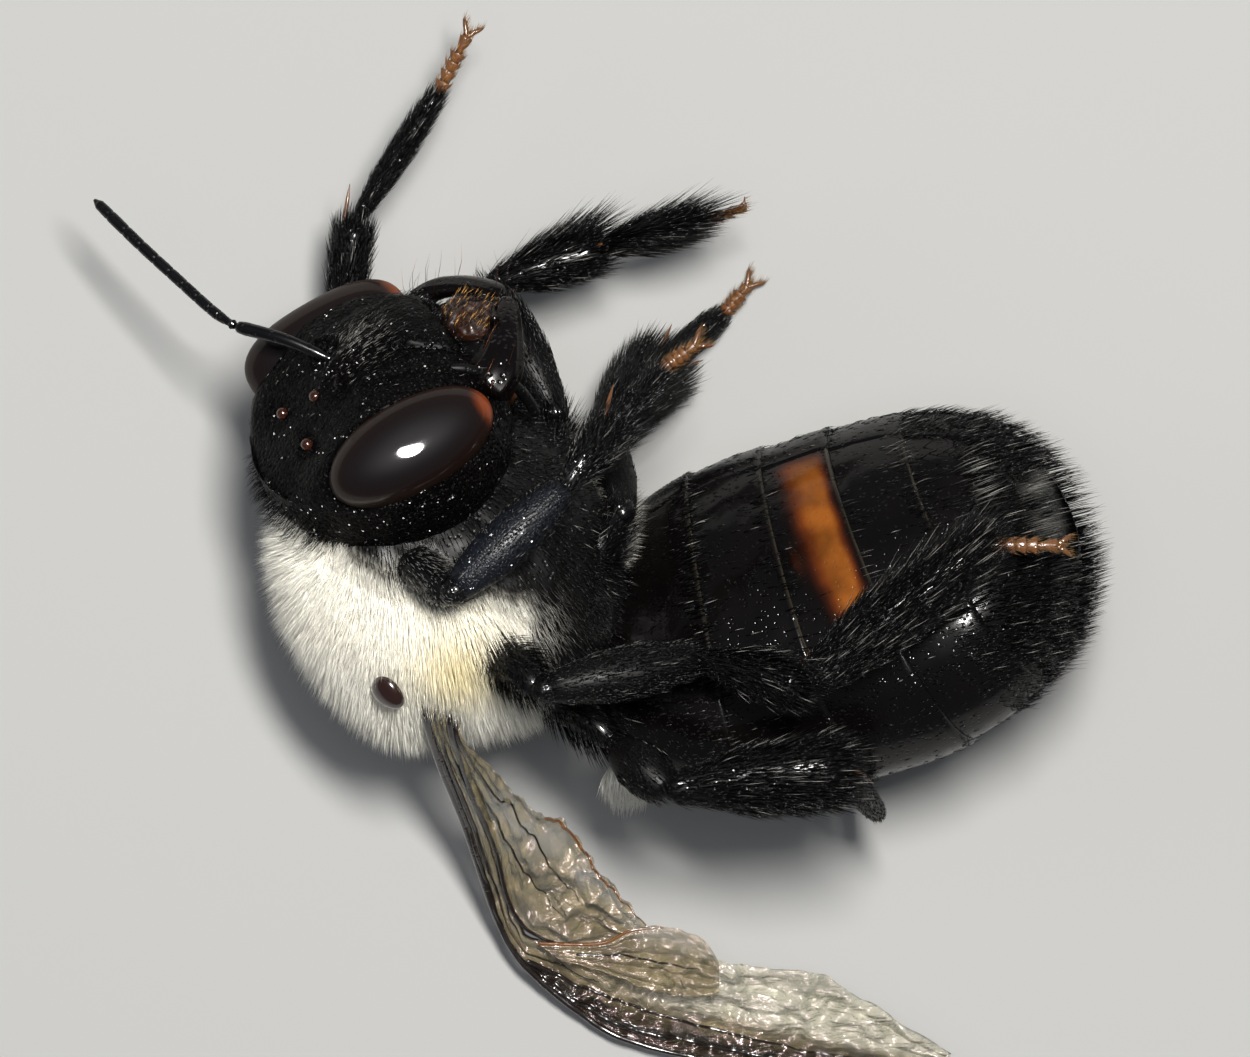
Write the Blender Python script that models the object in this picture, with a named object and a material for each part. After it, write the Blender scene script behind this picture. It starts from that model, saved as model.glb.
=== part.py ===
"""Eastern carpenter bee (Xylocopa virginica, female), life size, lying curled on its back.

Every length below is in millimetres and is turned to metres when a mesh is made.
The floor is z = 0. The bee is laid out round the middle of its thorax and moved at the
end, so that the bottom centre of its bounding box is the origin.
"""
import math

import bmesh
import bpy
from mathutils import Matrix, Vector

MM = 0.001
FLOOR = 0.0
CLEARANCE = 0.09          # gap between neighbouring solids, sagitta of the facets included

# --- driving sizes of the body ------------------------------------------------------------
HEAD_WIDTH = 6.7
HEAD_HEIGHT = 5.3
HEAD_DEPTH = 3.5
EYE_LENGTH = 3.75
THORAX_WIDTH = 8.5        # over the pile
THORAX_LENGTH = 8.9       # over the pile
THORAX_HEIGHT = 7.5       # pile on the back, bare beneath
ABDOMEN_WIDTH = 7.9
ABDOMEN_DEPTH = 5.7
ABDOMEN_LENGTH = 10.3
ABDOMEN_CURL = math.radians(30)
SEGMENT_GAP = 0.06
ANTENNA_THICKNESS = 0.5
MEMBRANE_HALF = 0.27      # half of a wing solid's thickness

# --- where the three body parts lie: middle, the way they face, the way their back faces ---
THORAX_MIDDLE = Vector((0.38, -0.42, 4.08))
THORAX_FORWARD = Vector((-0.72, 0.69, 0.0))
THORAX_BACK = Vector((-0.425, -0.443, -0.788))
HEAD_MIDDLE = Vector((-1.5, 2.63, 5.62))
HEAD_FORWARD = Vector((-0.315, 0.714, 0.626))
HEAD_BACK = Vector((-0.86, -0.494, 0.131))
ABDOMEN_BASE = Vector((3.1, -2.36, 2.70))
ABDOMEN_FORWARD = Vector((-0.975, -0.16, 0.0))
ABDOMEN_BACK = Vector((0.12, -0.5, -0.86))


def frame_at(middle, forward, back):
    """A matrix with +X to the bee's right, +Y forward and +Z to its back."""
    y = forward.normalized()
    z = (back - y * back.dot(y)).normalized()
    x = y.cross(z)
    turned = Matrix((x, y, z)).transposed()
    return Matrix.Translation(middle) @ turned.to_4x4()


THORAX = frame_at(THORAX_MIDDLE, THORAX_FORWARD, THORAX_BACK)
HEAD = frame_at(HEAD_MIDDLE, HEAD_FORWARD, HEAD_BACK)
ABDOMEN = frame_at(ABDOMEN_BASE, ABDOMEN_FORWARD, ABDOMEN_BACK)


# --- making and shaping meshes --------------------------------------------------------------
def add_solid(name, rings, frame, finish):
    """One closed body through rings of points, each end drawn to a point in its middle."""
    mesh = bmesh.new()
    loops = [[mesh.verts.new(p * MM) for p in ring] for ring in rings]
    for ring, following in zip(loops, loops[1:]):
        count = len(ring)
        for i in range(count):
            j = (i + 1) % count
            mesh.faces.new((ring[i], ring[j], following[j], following[i]))
    for ring, inward in ((loops[0], True), (loops[-1], False)):
        centre = sum((v.co for v in ring), Vector()) / len(ring)
        pole = mesh.verts.new(centre)
        for i in range(len(ring)):
            j = (i + 1) % len(ring)
            mesh.faces.new((ring[j], ring[i], pole) if inward else (ring[i], ring[j], pole))
    bmesh.ops.triangulate(mesh, faces=mesh.faces[:])
    bmesh.ops.recalc_face_normals(mesh, faces=mesh.faces[:])
    data = bpy.data.meshes.new(name)
    mesh.to_mesh(data)
    mesh.free()
    data.shade_smooth()
    solid = bpy.data.objects.new(name, data)
    bpy.context.scene.collection.objects.link(solid)
    turned = frame.to_3x3().to_4x4()
    solid.matrix_world = Matrix.Translation(frame.translation * MM) @ turned
    solid.data.materials.append(make_finish(name, *finish))
    return solid


def make_finish(name, colour, roughness, metallic=0.0):
    finish = bpy.data.materials.new(name)
    finish.use_nodes = True
    surface = finish.node_tree.nodes["Principled BSDF"]
    surface.inputs["Base Color"].default_value = (*colour, 1.0)
    surface.inputs["Roughness"].default_value = roughness
    surface.inputs["Metallic"].default_value = metallic
    return finish


SHELL = ((0.012, 0.012, 0.014), 0.25)
LEG_SHELL = ((0.015, 0.013, 0.012), 0.4)
CREAM_PILE = ((0.85, 0.80, 0.62), 0.9)
EYE_LENS = ((0.03, 0.015, 0.012), 0.15)
SMOKY_MEMBRANE = ((0.23, 0.18, 0.12), 0.3)
HORN_BROWN = ((0.09, 0.035, 0.015), 0.3)


def reshape(solid, moved):
    """Moves each point of a solid, given and returned in millimetres on the floor."""
    to_world = solid.matrix_world.copy()
    to_local = to_world.inverted()
    for vertex in solid.data.vertices:
        point = (to_world @ vertex.co) / MM
        vertex.co = to_local @ (moved(point) * MM)
    solid.data.update()


def settle(solid):
    """Flattens what would reach below the floor."""
    reshape(solid, lambda p: Vector((p.x, p.y, max(p.z, FLOOR))))


def carve(solid, neighbours, gap=CLEARANCE):
    """Cuts the room that each neighbour needs, with a gap round it, out of a solid."""
    for neighbour in neighbours:
        cutter = neighbour.copy()
        cutter.name = f"room_for_{neighbour.name}"
        cutter.modifiers.clear()
        cutter.data = neighbour.data.copy()
        outward = [v.normal.copy() for v in cutter.data.vertices]
        for vertex, normal in zip(cutter.data.vertices, outward):
            vertex.co += normal * gap * MM
        bpy.context.scene.collection.objects.link(cutter)
        cutter.hide_render = True
        cutter.display_type = "WIRE"
        cut = solid.modifiers.new(cutter.name, "BOOLEAN")
        cut.operation = "DIFFERENCE"
        cut.solver = "EXACT"
        cut.object = cutter


def ellipsoid_rings(semi, around, steps, squareness=2.0):
    """Rings of an ellipsoid from its -Y end to its +Y end; squareness 2 is a true ellipsoid."""
    rings = []
    for k in range(1, steps):
        angle = math.pi * k / steps
        y = -math.cos(angle)
        radius = (1 - abs(y) ** squareness) ** (1 / squareness)
        ring = []
        for i in range(around):
            turn = 2 * math.pi * i / around
            ring.append(Vector((semi[0] * radius * math.cos(turn), semi[1] * y,
                                semi[2] * radius * math.sin(turn))))
        rings.append(ring)
    return rings


def smooth_path(points, count):
    """Count points along a Catmull-Rom curve through the given ones."""
    padded = [2 * points[0] - points[1], *points, 2 * points[-1] - points[-2]]
    spans = len(points) - 1
    path = []
    for k in range(count):
        place = spans * k / (count - 1)
        i = min(int(place), spans - 1)
        t = place - i
        a, b, c, d = padded[i:i + 4]
        path.append(0.5 * (2 * b + (c - a) * t + (2 * a - 5 * b + 4 * c - d) * t ** 2
                           + (3 * b - a - 3 * c + d) * t ** 3))
    return path


def interpolate(values, share):
    """A value along an evenly spaced list, share running from 0 to 1."""
    place = share * (len(values) - 1)
    i = min(int(place), len(values) - 2)
    return values[i] + (values[i + 1] - values[i]) * (place - i)


def tube_rings(path, half_widths, half_depths, sides, up):
    """Elliptic rings along a path; widths lie square to `up`, depths along it."""
    rings = []
    for k, point in enumerate(path):
        share = k / (len(path) - 1)
        ahead = path[min(k + 1, len(path) - 1)] - path[max(k - 1, 0)]
        across = up.cross(ahead).normalized()
        over = ahead.cross(across).normalized()
        wide = interpolate(half_widths, share)
        deep = interpolate(half_depths, share)
        ring = []
        for i in range(sides):
            turn = 2 * math.pi * (i + 0.5) / sides
            ring.append(point + across * wide * math.cos(turn) + over * deep * math.sin(turn))
        rings.append(ring)
    return rings


ON_FLOOR = Matrix.Identity(4)
UP = Vector((0, 0, 1))


def add_tube(name, points, half_widths, half_depths, finish, sides=8, steps=8, up=UP):
    path = smooth_path(points, steps)
    return add_solid(name, tube_rings(path, half_widths, half_depths, sides, up),
                     ON_FLOOR, finish)


def between(start, end, trim_start, trim_end):
    """The straight run from start to end, cut short by a length at each end."""
    along = (end - start).normalized()
    return start + along * trim_start, end - along * trim_end


# --- head -------------------------------------------------------------------------------------
EYE_SEMI = (0.93, 1.02, EYE_LENGTH / 2)
EYE_MIDDLE = Vector((2.18, 0.80, 0.0))
HEAD_SEMI = (HEAD_WIDTH / 2 - 0.25, HEAD_DEPTH / 2, HEAD_HEIGHT / 2)
MANDIBLE_THICKNESS = 0.80
MANDIBLE_LINE = ((1.6, 0.9, -2.2), (1.45, 1.05, -2.75), (0.92, 1.18, -3.1),
                 (0.33, 1.15, -3.25))


def eye_frame(side):
    return HEAD @ Matrix.Translation((side * EYE_MIDDLE.x, EYE_MIDDLE.y, EYE_MIDDLE.z))


def build_head():
    """A rounded box, flat behind, with the clypeus bulging in front."""
    rings = []
    for ring in ellipsoid_rings(HEAD_SEMI, 22, 12, squareness=2.3):
        shaped = []
        for p in ring:
            muzzle = math.exp(-((p.x / 1.5) ** 2 + ((p.z + 1.3) / 1.5) ** 2))
            if p.y > 0:
                p.y += 0.45 * muzzle
            else:
                p.y *= 0.82
            if p.z < 0:
                p.x *= 1 - 0.05 * (p.z / HEAD_SEMI[2]) ** 2
            shaped.append(p)
        rings.append(shaped)
    add_solid("head", rings, HEAD, SHELL)


def build_eyes():
    for side, word in ((-1, "left"), (1, "right")):
        add_solid(f"eye_{word}", ellipsoid_rings(EYE_SEMI, 14, 9), eye_frame(side), EYE_LENS)


def build_mandibles():
    """Two curved jaws, closed so that their tips meet under the labrum."""
    for side, word in ((-1, "left"), (1, "right")):
        points = [HEAD @ Vector((side * x, y, z)) for x, y, z in
                  MANDIBLE_LINE]
        half = MANDIBLE_THICKNESS / 2
        add_tube(f"mandible_{word}", points, (0.16, half, half, 0.8 * half, 0.25),
                 (0.14, 0.34, 0.36, 0.30, 0.25), SHELL, up=HEAD.col[2].to_3d())


# --- antennae ---------------------------------------------------------------------------------
SCAPE_LEFT = (Vector((-2.72, 4.02, 6.42)), Vector((-4.5, 4.62, 5.95)))
FLAGELLUM_LEFT = (Vector((-4.66, 4.72, 5.85)), Vector((-5.55, 5.42, 5.3)),
                  Vector((-6.4, 6.27, 4.7)), Vector((-7.5, 7.25, 4.1)))
SCAPE_RIGHT = (Vector((0.95, 2.12, 0.2)), Vector((1.52, 2.1, -1.35)))
FLAGELLUM_RIGHT = (Vector((1.62, 2.05, -1.6)), Vector((1.98, 1.75, -2.3)),
                   Vector((2.1, 1.2, -3.0)), Vector((1.95, 0.4, -3.7)))


def build_antennae():
    """The left one stands out from the face, the right one is folded down beside the clypeus."""
    half = ANTENNA_THICKNESS / 2
    for word, scape, flagellum in (
            ("left", SCAPE_LEFT, FLAGELLUM_LEFT),
            ("right", [HEAD @ p for p in SCAPE_RIGHT], [HEAD @ p for p in FLAGELLUM_RIGHT])):
        add_tube(f"scape_{word}", scape, (0.2, half, half, 0.2), (0.2, half, half, 0.2),
                 SHELL, steps=4)
        add_tube(f"flagellum_{word}", flagellum, (0.2, half, half, half, 0.18),
                 (0.2, half, half, half, 0.18), SHELL, sides=6, steps=9)


# --- thorax -----------------------------------------------------------------------------------
THORAX_SEMI = (THORAX_WIDTH / 2, THORAX_LENGTH / 2, 4.3)
BELLY_HALF = THORAX_HEIGHT - THORAX_SEMI[2]
TEGULA_SEMI = (0.42, 0.62, 0.30)
TEGULA_DEPTH = 0.93                 # share of the pile's depth, so that the lid is flush in it
TEGULA_FORWARD = -0.5
TEGULA_TURN = math.radians(92)      # round the thorax, from the middle of the back


def tegula_frame(side):
    """The small lid over a wing's root, on the shoulder, flush in the pile."""
    outward = Vector((side * math.sin(TEGULA_TURN), 0, math.cos(TEGULA_TURN)))
    middle = outward * THORAX_WIDTH / 2 * TEGULA_DEPTH + Vector((0, TEGULA_FORWARD, 0))
    return frame_at(THORAX @ middle, THORAX.col[1].to_3d(), THORAX.to_3x3() @ outward)


def build_thorax():
    rings = []
    for ring in ellipsoid_rings(THORAX_SEMI, 24, 12, squareness=2.2):
        for p in ring:
            if p.z < 0:
                p.z *= BELLY_HALF / THORAX_SEMI[2]
            if p.y < 0:
                p.y *= 0.92
        rings.append(ring)
    add_solid("thorax", rings, THORAX, CREAM_PILE)


def build_tegulae():
    for side, word in ((-1, "left"), (1, "right")):
        add_solid(f"tegula_{word}", ellipsoid_rings(TEGULA_SEMI, 10, 6), tegula_frame(side),
                  HORN_BROWN)


# --- abdomen ----------------------------------------------------------------------------------
SEGMENT_ENDS = (0.0, 0.17, 0.36, 0.55, 0.73, 0.88, 1.0)


def abdomen_point(share):
    """Where the curled midline is at a share of its length, and the way back and up there."""
    turn = ABDOMEN_CURL * share
    radius = ABDOMEN_LENGTH / ABDOMEN_CURL
    middle = Vector((0, -radius * math.sin(turn), -radius * (1 - math.cos(turn))))
    up = Vector((0, -math.sin(turn), math.cos(turn)))
    return middle, up


def abdomen_girth(share):
    """Share of the full width at a share of the length: a blunt egg, widest past the middle."""
    front = 1 - (1 - min(share / 0.42, 1.0)) ** 2.6
    rear = 1 - max((share - 0.45) / 0.56, 0.0) ** 3
    return (0.62 + 0.38 * front) * max(rear, 0.0) ** 0.5


def abdomen_ring(share, around, swell=1.0):
    middle, up = abdomen_point(share)
    girth = abdomen_girth(share) * swell
    ring = []
    for i in range(around):
        turn = 2 * math.pi * i / around
        across = ABDOMEN_WIDTH / 2 * girth * math.cos(turn)
        over = ABDOMEN_DEPTH / 2 * girth * math.sin(turn)
        ring.append(middle + Vector((across, 0, 0)) + up * over)
    return ring


def build_abdomen():
    """Six overlapping rings, each a little wider at its rear rim than the next one's front."""
    gap = SEGMENT_GAP / ABDOMEN_LENGTH
    for n, (start, end) in enumerate(zip(SEGMENT_ENDS, SEGMENT_ENDS[1:])):
        last = n == len(SEGMENT_ENDS) - 2
        start += gap / 2
        end -= 0 if last else gap / 2
        steps = 6 if last else 4
        rings = []
        for k in range(steps):
            share = k / (steps - 1)
            place = start + (end - start) * share * (0.985 if last else 1.0)
            swell = 0.975 + 0.025 * share
            rings.append(abdomen_ring(place, 24, swell))
        rings.reverse()
        add_solid(f"abdomen_segment_{n + 1}", rings, ABDOMEN, SHELL)


# --- legs -------------------------------------------------------------------------------------
# Each leg's root, hip, knee, ankle, heel and toe: the ends of its coxa, femur, tibia,
# basitarsus and tarsus.
LEG_POINTS = {
    "fore_right": ((-1.0, -0.35, 8.15), (-0.1, -0.95, 8.5), (2.25, 1.25, 8.2),
                   (3.3, 2.65, 7.5), (4.28, 3.72, 6.9), (5.2, 4.4, 6.7)),
    "mid_right": ((1.0, -2.6, 7.3), (1.75, -2.9, 7.75), (5.0, -2.25, 7.1),
                  (7.2, -2.85, 7.9), (11.0, 0.1, 7.7), (12.75, 0.1, 7.2)),
    "hind_right": ((2.55, -4.2, 5.3), (3.0, -4.35, 5.9), (4.2, -5.1, 6.8),
                   (8.15, -4.55, 6.75), (8.8, -5.55, 3.5), (8.3, -5.1, 0.9)),
    "fore_left": ((1.15, 2.95, 4.7), (0.55, 3.35, 4.0), (-2.45, 4.35, 2.1),
                  (-2.12, 6.85, 2.3), (-0.38, 9.55, 2.5), (0.36, 11.0, 2.5)),
    "mid_left": ((2.55, 2.1, 4.6), (2.15, 2.75, 4.1), (0.65, 5.5, 3.2),
                 (3.0, 6.3, 3.0), (4.9, 6.8, 3.0), (6.05, 7.15, 3.0)),
    "hind_left": ((3.75, 0.15, 5.5), (3.5, 0.7, 5.0), (2.95, 2.4, 2.9),
                  (4.4, 3.95, 0.85), (5.6, 4.95, 0.36), (6.3, 5.75, 0.22)),
}
COXA_RADIUS = 0.42
FEMUR_RADIUS = 0.50
TIBIA_HALVES = {"fore": (0.52, 0.42), "mid": (0.58, 0.42), "hind": (0.88, 0.48)}
BRUSH_HALVES = {"fore": (0.36, 0.32), "mid": (0.95, 0.34), "hind": (0.43, 0.34)}
TARSUS_HALVES = (0.30, 0.27)
JOINT_GAP = 0.05


FLAT_SIDE = {"mid_left": Vector((0.2, -0.95, 0.3)), "hind_right": Vector((0.2, 1.0, 0.2))}


def build_leg(name, points):
    """Coxa, femur, tibia, basitarsus and tarsus; the last three are flattened and hairy."""
    pair = name.split("_")[0]
    root, hip, knee, ankle, heel, toe = (Vector(p) for p in points)
    flat = FLAT_SIDE.get(name, UP)
    round_shape = (0.45, 0.95, 1.0, 0.9, 0.4)
    coxa = [COXA_RADIUS * r for r in round_shape]
    add_tube(f"coxa_{name}", between(root, hip, 0, JOINT_GAP), coxa, coxa, LEG_SHELL, steps=5)

    femur = [FEMUR_RADIUS * r for r in (0.5, 0.85, 1.0, 1.0, 0.9, 0.5)]
    add_tube(f"femur_{name}", between(hip, knee, 0.12, JOINT_GAP), femur, femur,
             LEG_SHELL, steps=6)

    wide, deep = TIBIA_HALVES[pair]
    shape = (0.4, 0.85, 1.0, 1.0, 0.95, 0.5)
    add_tube(f"tibia_{name}", between(knee, ankle, 0.2, JOINT_GAP), [wide * s for s in shape],
             [deep * s for s in shape], LEG_SHELL, steps=6)

    wide, deep = BRUSH_HALVES[pair]
    shape = (0.35, 0.8, 1.0, 0.95, 0.75, 0.45)
    add_tube(f"basitarsus_{name}", between(ankle, heel, 0.15, JOINT_GAP),
             [max(wide * s, 0.25) for s in shape], [max(deep * s, 0.25) for s in shape],
             LEG_SHELL, steps=6, up=flat)

    wide, deep = TARSUS_HALVES
    beads = (0.8, 1.0, 0.85, 1.05, 0.85, 0.95, 1.0, 1.45, 1.1)
    add_tube(f"tarsus_{name}", between(heel, toe, JOINT_GAP, 0), [wide * s for s in beads],
             [deep * min(s, 1.0) for s in beads], HORN_BROWN, sides=6, steps=9, up=flat)


# --- wings ------------------------------------------------------------------------------------
# Middle line of each crumpled wing piece, and its half width at even steps along that line.
WINGS = {
    "forewing_right_base": (((-0.95, -3.35, 6.2), (-0.5, -4.5, 4.4), (0.2, -5.7, 2.4),
                             (0.92, -6.9, 0.7)), (0.25, 0.3, 0.4, 0.55, 0.62)),
    "forewing_right_blade": (((1.05, -7.1, 0.65), (2.0, -8.45, 0.45), (3.4, -9.3, 0.35),
                              (5.2, -9.72, 0.32)), (0.65, 0.95, 1.15, 1.15, 1.05)),
    "forewing_right_tip": (((5.4, -9.75, 0.32), (7.1, -10.05, 0.3), (8.9, -10.55, 0.3),
                            (10.4, -10.9, 0.3)), (1.0, 0.95, 0.7, 0.55, 0.3)),
    "hindwing_right": (((-0.35, -3.75, 5.6), (0.6, -5.0, 3.9), (1.9, -6.3, 2.1),
                        (3.6, -7.9, 0.75)), (0.2, 0.4, 0.5, 0.55, 0.4)),
    "forewing_left": (((2.25, 0.75, 0.45), (2.95, -0.9, 0.3), (3.15, -2.8, 0.3),
                       (3.6, -4.6, 0.3)), (0.25, 0.42, 0.48, 0.48, 0.3)),
    "hindwing_left": (((2.75, 1.25, 0.75), (3.5, 0.75, 0.5), (4.2, 0.3, 0.4)),
                      (0.25, 0.35, 0.4, 0.3)),
}
CRUMPLE_DEPTH = 0.10
CRUMPLE_STEPS = 1.9


def build_wings():
    """Narrow, still unexpanded wings: strips with a few creases across them."""
    for name, (middle_line, half_widths) in WINGS.items():
        path = smooth_path([Vector(p) for p in middle_line], 10)
        for k in range(1, len(path) - 1):
            path[k].z += CRUMPLE_DEPTH * math.sin(CRUMPLE_STEPS * k)
        rings = tube_rings(path, half_widths, (MEMBRANE_HALF,) * 2, 6, UP)
        add_solid(name, rings, ON_FLOOR, SMOKY_MEMBRANE)


# --- putting the bee together -----------------------------------------------------------------
# What is cut back, and the neighbours that it makes room for.
ROOM = {
    "head": ("eye", "mandible", "scape_left", "scape_right", "femur_fore_left"),
    "thorax": ("head", "eye", "tegula", "coxa", "femur_fore_left", "femur_mid_left",
               "femur_hind_left", "forewing_left", "forewing_right_base", "hindwing_right"),
    "tegula_left": ("forewing_left",),
    "hindwing_right": ("forewing_right_base",),
    "abdomen_segment_1": ("thorax", "forewing_left", "hindwing_left"),
    "abdomen_segment_2": ("thorax",),
    "abdomen_segment_3": ("basitarsus_hind_right",),
}


def fit_together():
    solids = {o.name: o for o in bpy.data.objects if o.type == "MESH"}
    for solid in solids.values():
        settle(solid)
    for name, wanted in ROOM.items():
        carve(solids[name], [o for n, o in solids.items() if n.startswith(wanted)])


def stand_on_origin():
    """Hangs the bee under one empty, placed so the box's bottom centre is the origin."""
    bpy.context.view_layer.update()
    meshes = [o for o in bpy.data.objects if o.type == "MESH"]
    corners = [o.matrix_world @ v.co for o in meshes if not o.hide_render
               for v in o.data.vertices]
    low = Vector([min(c[i] for c in corners) for i in range(3)])
    high = Vector([max(c[i] for c in corners) for i in range(3)])
    bee = bpy.data.objects.new("bee", None)
    bpy.context.scene.collection.objects.link(bee)
    for part in meshes:
        part.parent = bee
    bee.location = -Vector(((low.x + high.x) / 2, (low.y + high.y) / 2, low.z))


def main():
    for old in list(bpy.data.objects):
        bpy.data.objects.remove(old, do_unlink=True)
    build_head()
    build_eyes()
    build_mandibles()
    build_antennae()
    build_thorax()
    build_tegulae()
    build_abdomen()
    for name, points in LEG_POINTS.items():
        build_leg(name, points)
    build_wings()
    fit_together()
    stand_on_origin()


main()
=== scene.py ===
"""The looks of a life-size model of a female eastern carpenter bee, lying curled on its back.

Lengths are millimetres in the model's own layout, whose floor is z = 0, until a mesh is made.
A body part's own frame has +X to the bee's right, +Y forward and +Z to its back or crown.
"""
import math

import bpy
import numpy as np
from mathutils import Matrix, Vector, noise


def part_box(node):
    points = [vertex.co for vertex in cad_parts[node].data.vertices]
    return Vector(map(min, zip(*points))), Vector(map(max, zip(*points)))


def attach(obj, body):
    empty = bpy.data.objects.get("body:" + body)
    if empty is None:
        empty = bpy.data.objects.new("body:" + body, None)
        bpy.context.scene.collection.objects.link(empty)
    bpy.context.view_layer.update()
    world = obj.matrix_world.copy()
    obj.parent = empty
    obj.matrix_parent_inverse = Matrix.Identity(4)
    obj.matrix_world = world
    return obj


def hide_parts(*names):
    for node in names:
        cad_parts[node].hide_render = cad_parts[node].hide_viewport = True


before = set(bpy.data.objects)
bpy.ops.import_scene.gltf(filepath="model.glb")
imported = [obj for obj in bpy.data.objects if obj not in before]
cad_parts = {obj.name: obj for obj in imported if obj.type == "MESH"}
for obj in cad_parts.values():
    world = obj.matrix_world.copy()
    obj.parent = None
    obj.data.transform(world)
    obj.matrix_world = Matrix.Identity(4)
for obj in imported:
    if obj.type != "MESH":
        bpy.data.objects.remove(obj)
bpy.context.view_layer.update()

MM = 0.001
PALE, WARM, RISE, TINT = "pale", "warm", "rise", "tint"      # attributes that finishes read
COVER, NAP, LIE, UNWRAP = "cover", "nap", "lie", "Unwrap"    # what a coat is grown from


# --- vectors and frames ---------------------------------------------------------------------
def unit(v):
    """The same directions with length 1."""
    v = np.asarray(v, float)
    return v / np.maximum(np.linalg.norm(v, axis=-1, keepdims=True), 1e-9)


def frame_at(middle, forward, back):
    """A body part's own frame: its middle, and the layout's directions of its three axes."""
    y = unit(forward)
    z = unit(np.asarray(back) - y * np.dot(back, y))
    return np.array(middle, float), np.array([np.cross(y, z), y, z])


def place(at, local):
    """Layout points from points in a frame."""
    return at[0] + np.asarray(local, float) @ at[1]


def turned(at, local):
    """Layout directions from directions in a frame."""
    return np.asarray(local, float) @ at[1]


def ease(x, low, high):
    """A smooth step from 0 at `low` to 1 at `high`, which may be the lesser."""
    t = np.clip((x - low) / (high - low), 0, 1)
    return t * t * (3 - 2 * t)


def hump(x, middle, width):
    """1 at the middle, falling off like a bell on both sides."""
    return np.exp(-(((x - middle) / width) ** 2))


def rough(points, size, seed=0.0):
    """Smooth noise, -1 to 1, with features about `size` mm across."""
    shift = Vector((seed, 1.7 * seed, -seed))
    return np.array([noise.noise(Vector(p) / size + shift) for p in np.reshape(points, (-1, 3))]
                    ).reshape(np.shape(points)[:-1])


HEAD = frame_at((-1.5, 2.63, 5.62), (-0.315, 0.714, 0.626), (-0.86, -0.494, 0.131))
THORAX = frame_at((0.38, -0.42, 4.08), (-0.72, 0.69, 0.0), (-0.425, -0.443, -0.788))
ABDOMEN = frame_at((3.1, -2.36, 2.70), (-0.975, -0.16, 0.0), (0.12, -0.5, -0.86))
EYE_SEMI = np.array((0.93, 1.02, 1.875))
EYE_SIDE, EYE_FORWARD = 2.18, 0.80


def layout_shift():
    """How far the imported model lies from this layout: its eyes' middle against this one's."""
    corners = [np.array(c) for side in ("left", "right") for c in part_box(f"eye_{side}")]
    return sum(corners) / 4 / MM - place(HEAD, (0, EYE_FORWARD, 0))


SHIFT = layout_shift()


# --- meshes ---------------------------------------------------------------------------------
def make_mesh(name, points, faces, corners=None, marks=None):
    """A mesh object from layout points; `corners` is its unwrap, `marks` its vertex attributes."""
    data = bpy.data.meshes.new(name)
    placed = (np.asarray(points, float) + SHIFT) * MM
    placed[:, 2] = np.maximum(placed[:, 2], 0)     # nothing sinks into the floor it lies on
    data.from_pydata(placed.tolist(), [], [tuple(int(i) for i in f) for f in faces])
    data.shade_smooth()
    if corners is not None:
        layer = data.uv_layers.new(name=UNWRAP)
        flat = np.concatenate([np.reshape(c, (-1, 2)) for c in corners])
        layer.uv.foreach_set("vector", flat.astype(np.float32).ravel())
    for key, values in (marks or {}).items():
        values = np.asarray(values, np.float32)
        if values.ndim == 2:
            spot = data.attributes.new(key, "FLOAT_VECTOR", "POINT")
            spot.data.foreach_set("vector", values.ravel())
        else:
            spot = data.attributes.new(key, "FLOAT", "POINT")
            spot.data.foreach_set("value", values)
    made = bpy.data.objects.new(name, data)
    bpy.context.scene.collection.objects.link(made)
    return made


def finish_piece(piece, finish, slot, *nodes):
    """Gives a piece its finish and its place in the frame, and hides the solids it stands for."""
    piece.data.materials.clear()
    piece.data.materials.append(finish)
    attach(piece, "root")
    if nodes:
        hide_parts(*nodes)
    return piece


def ball_grid(count):
    """Directions over a ball in six square patches, its faces, and an unwrap of a tile each."""
    step = np.linspace(-1, 1, count + 1)
    a, b = np.meshgrid(np.tan(step * math.pi / 4), np.tan(step * math.pi / 4), indexing="ij")
    one = np.ones_like(a)
    sides = ((one, a, b), (-one, -a, b), (-a, one, b), (a, -one, b), (-b, a, one), (b, a, -one))
    spots = np.concatenate([np.stack(s, -1).reshape(-1, 3) for s in sides])
    ways, index = np.unique(np.round(unit(spots), 6), axis=0, return_inverse=True)
    index = index.reshape(6, count + 1, count + 1)
    faces, corners = [], []
    share = np.linspace(0.02, 0.98, count + 1)
    for k, patch in enumerate(index):
        quads = np.stack([patch[:-1, :-1], patch[1:, :-1], patch[1:, 1:], patch[:-1, 1:]], -1)
        faces.append(quads.reshape(-1, 4))
        u, v = np.meshgrid((k % 3 + share) / 3, (k // 3 + share) / 2, indexing="ij")
        tile = np.stack([u, v], -1)
        ring = np.stack([tile[:-1, :-1], tile[1:, :-1], tile[1:, 1:], tile[:-1, 1:]], -2)
        corners.append(ring.reshape(-1, 2))
    return unit(ways), np.concatenate(faces), corners


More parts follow.
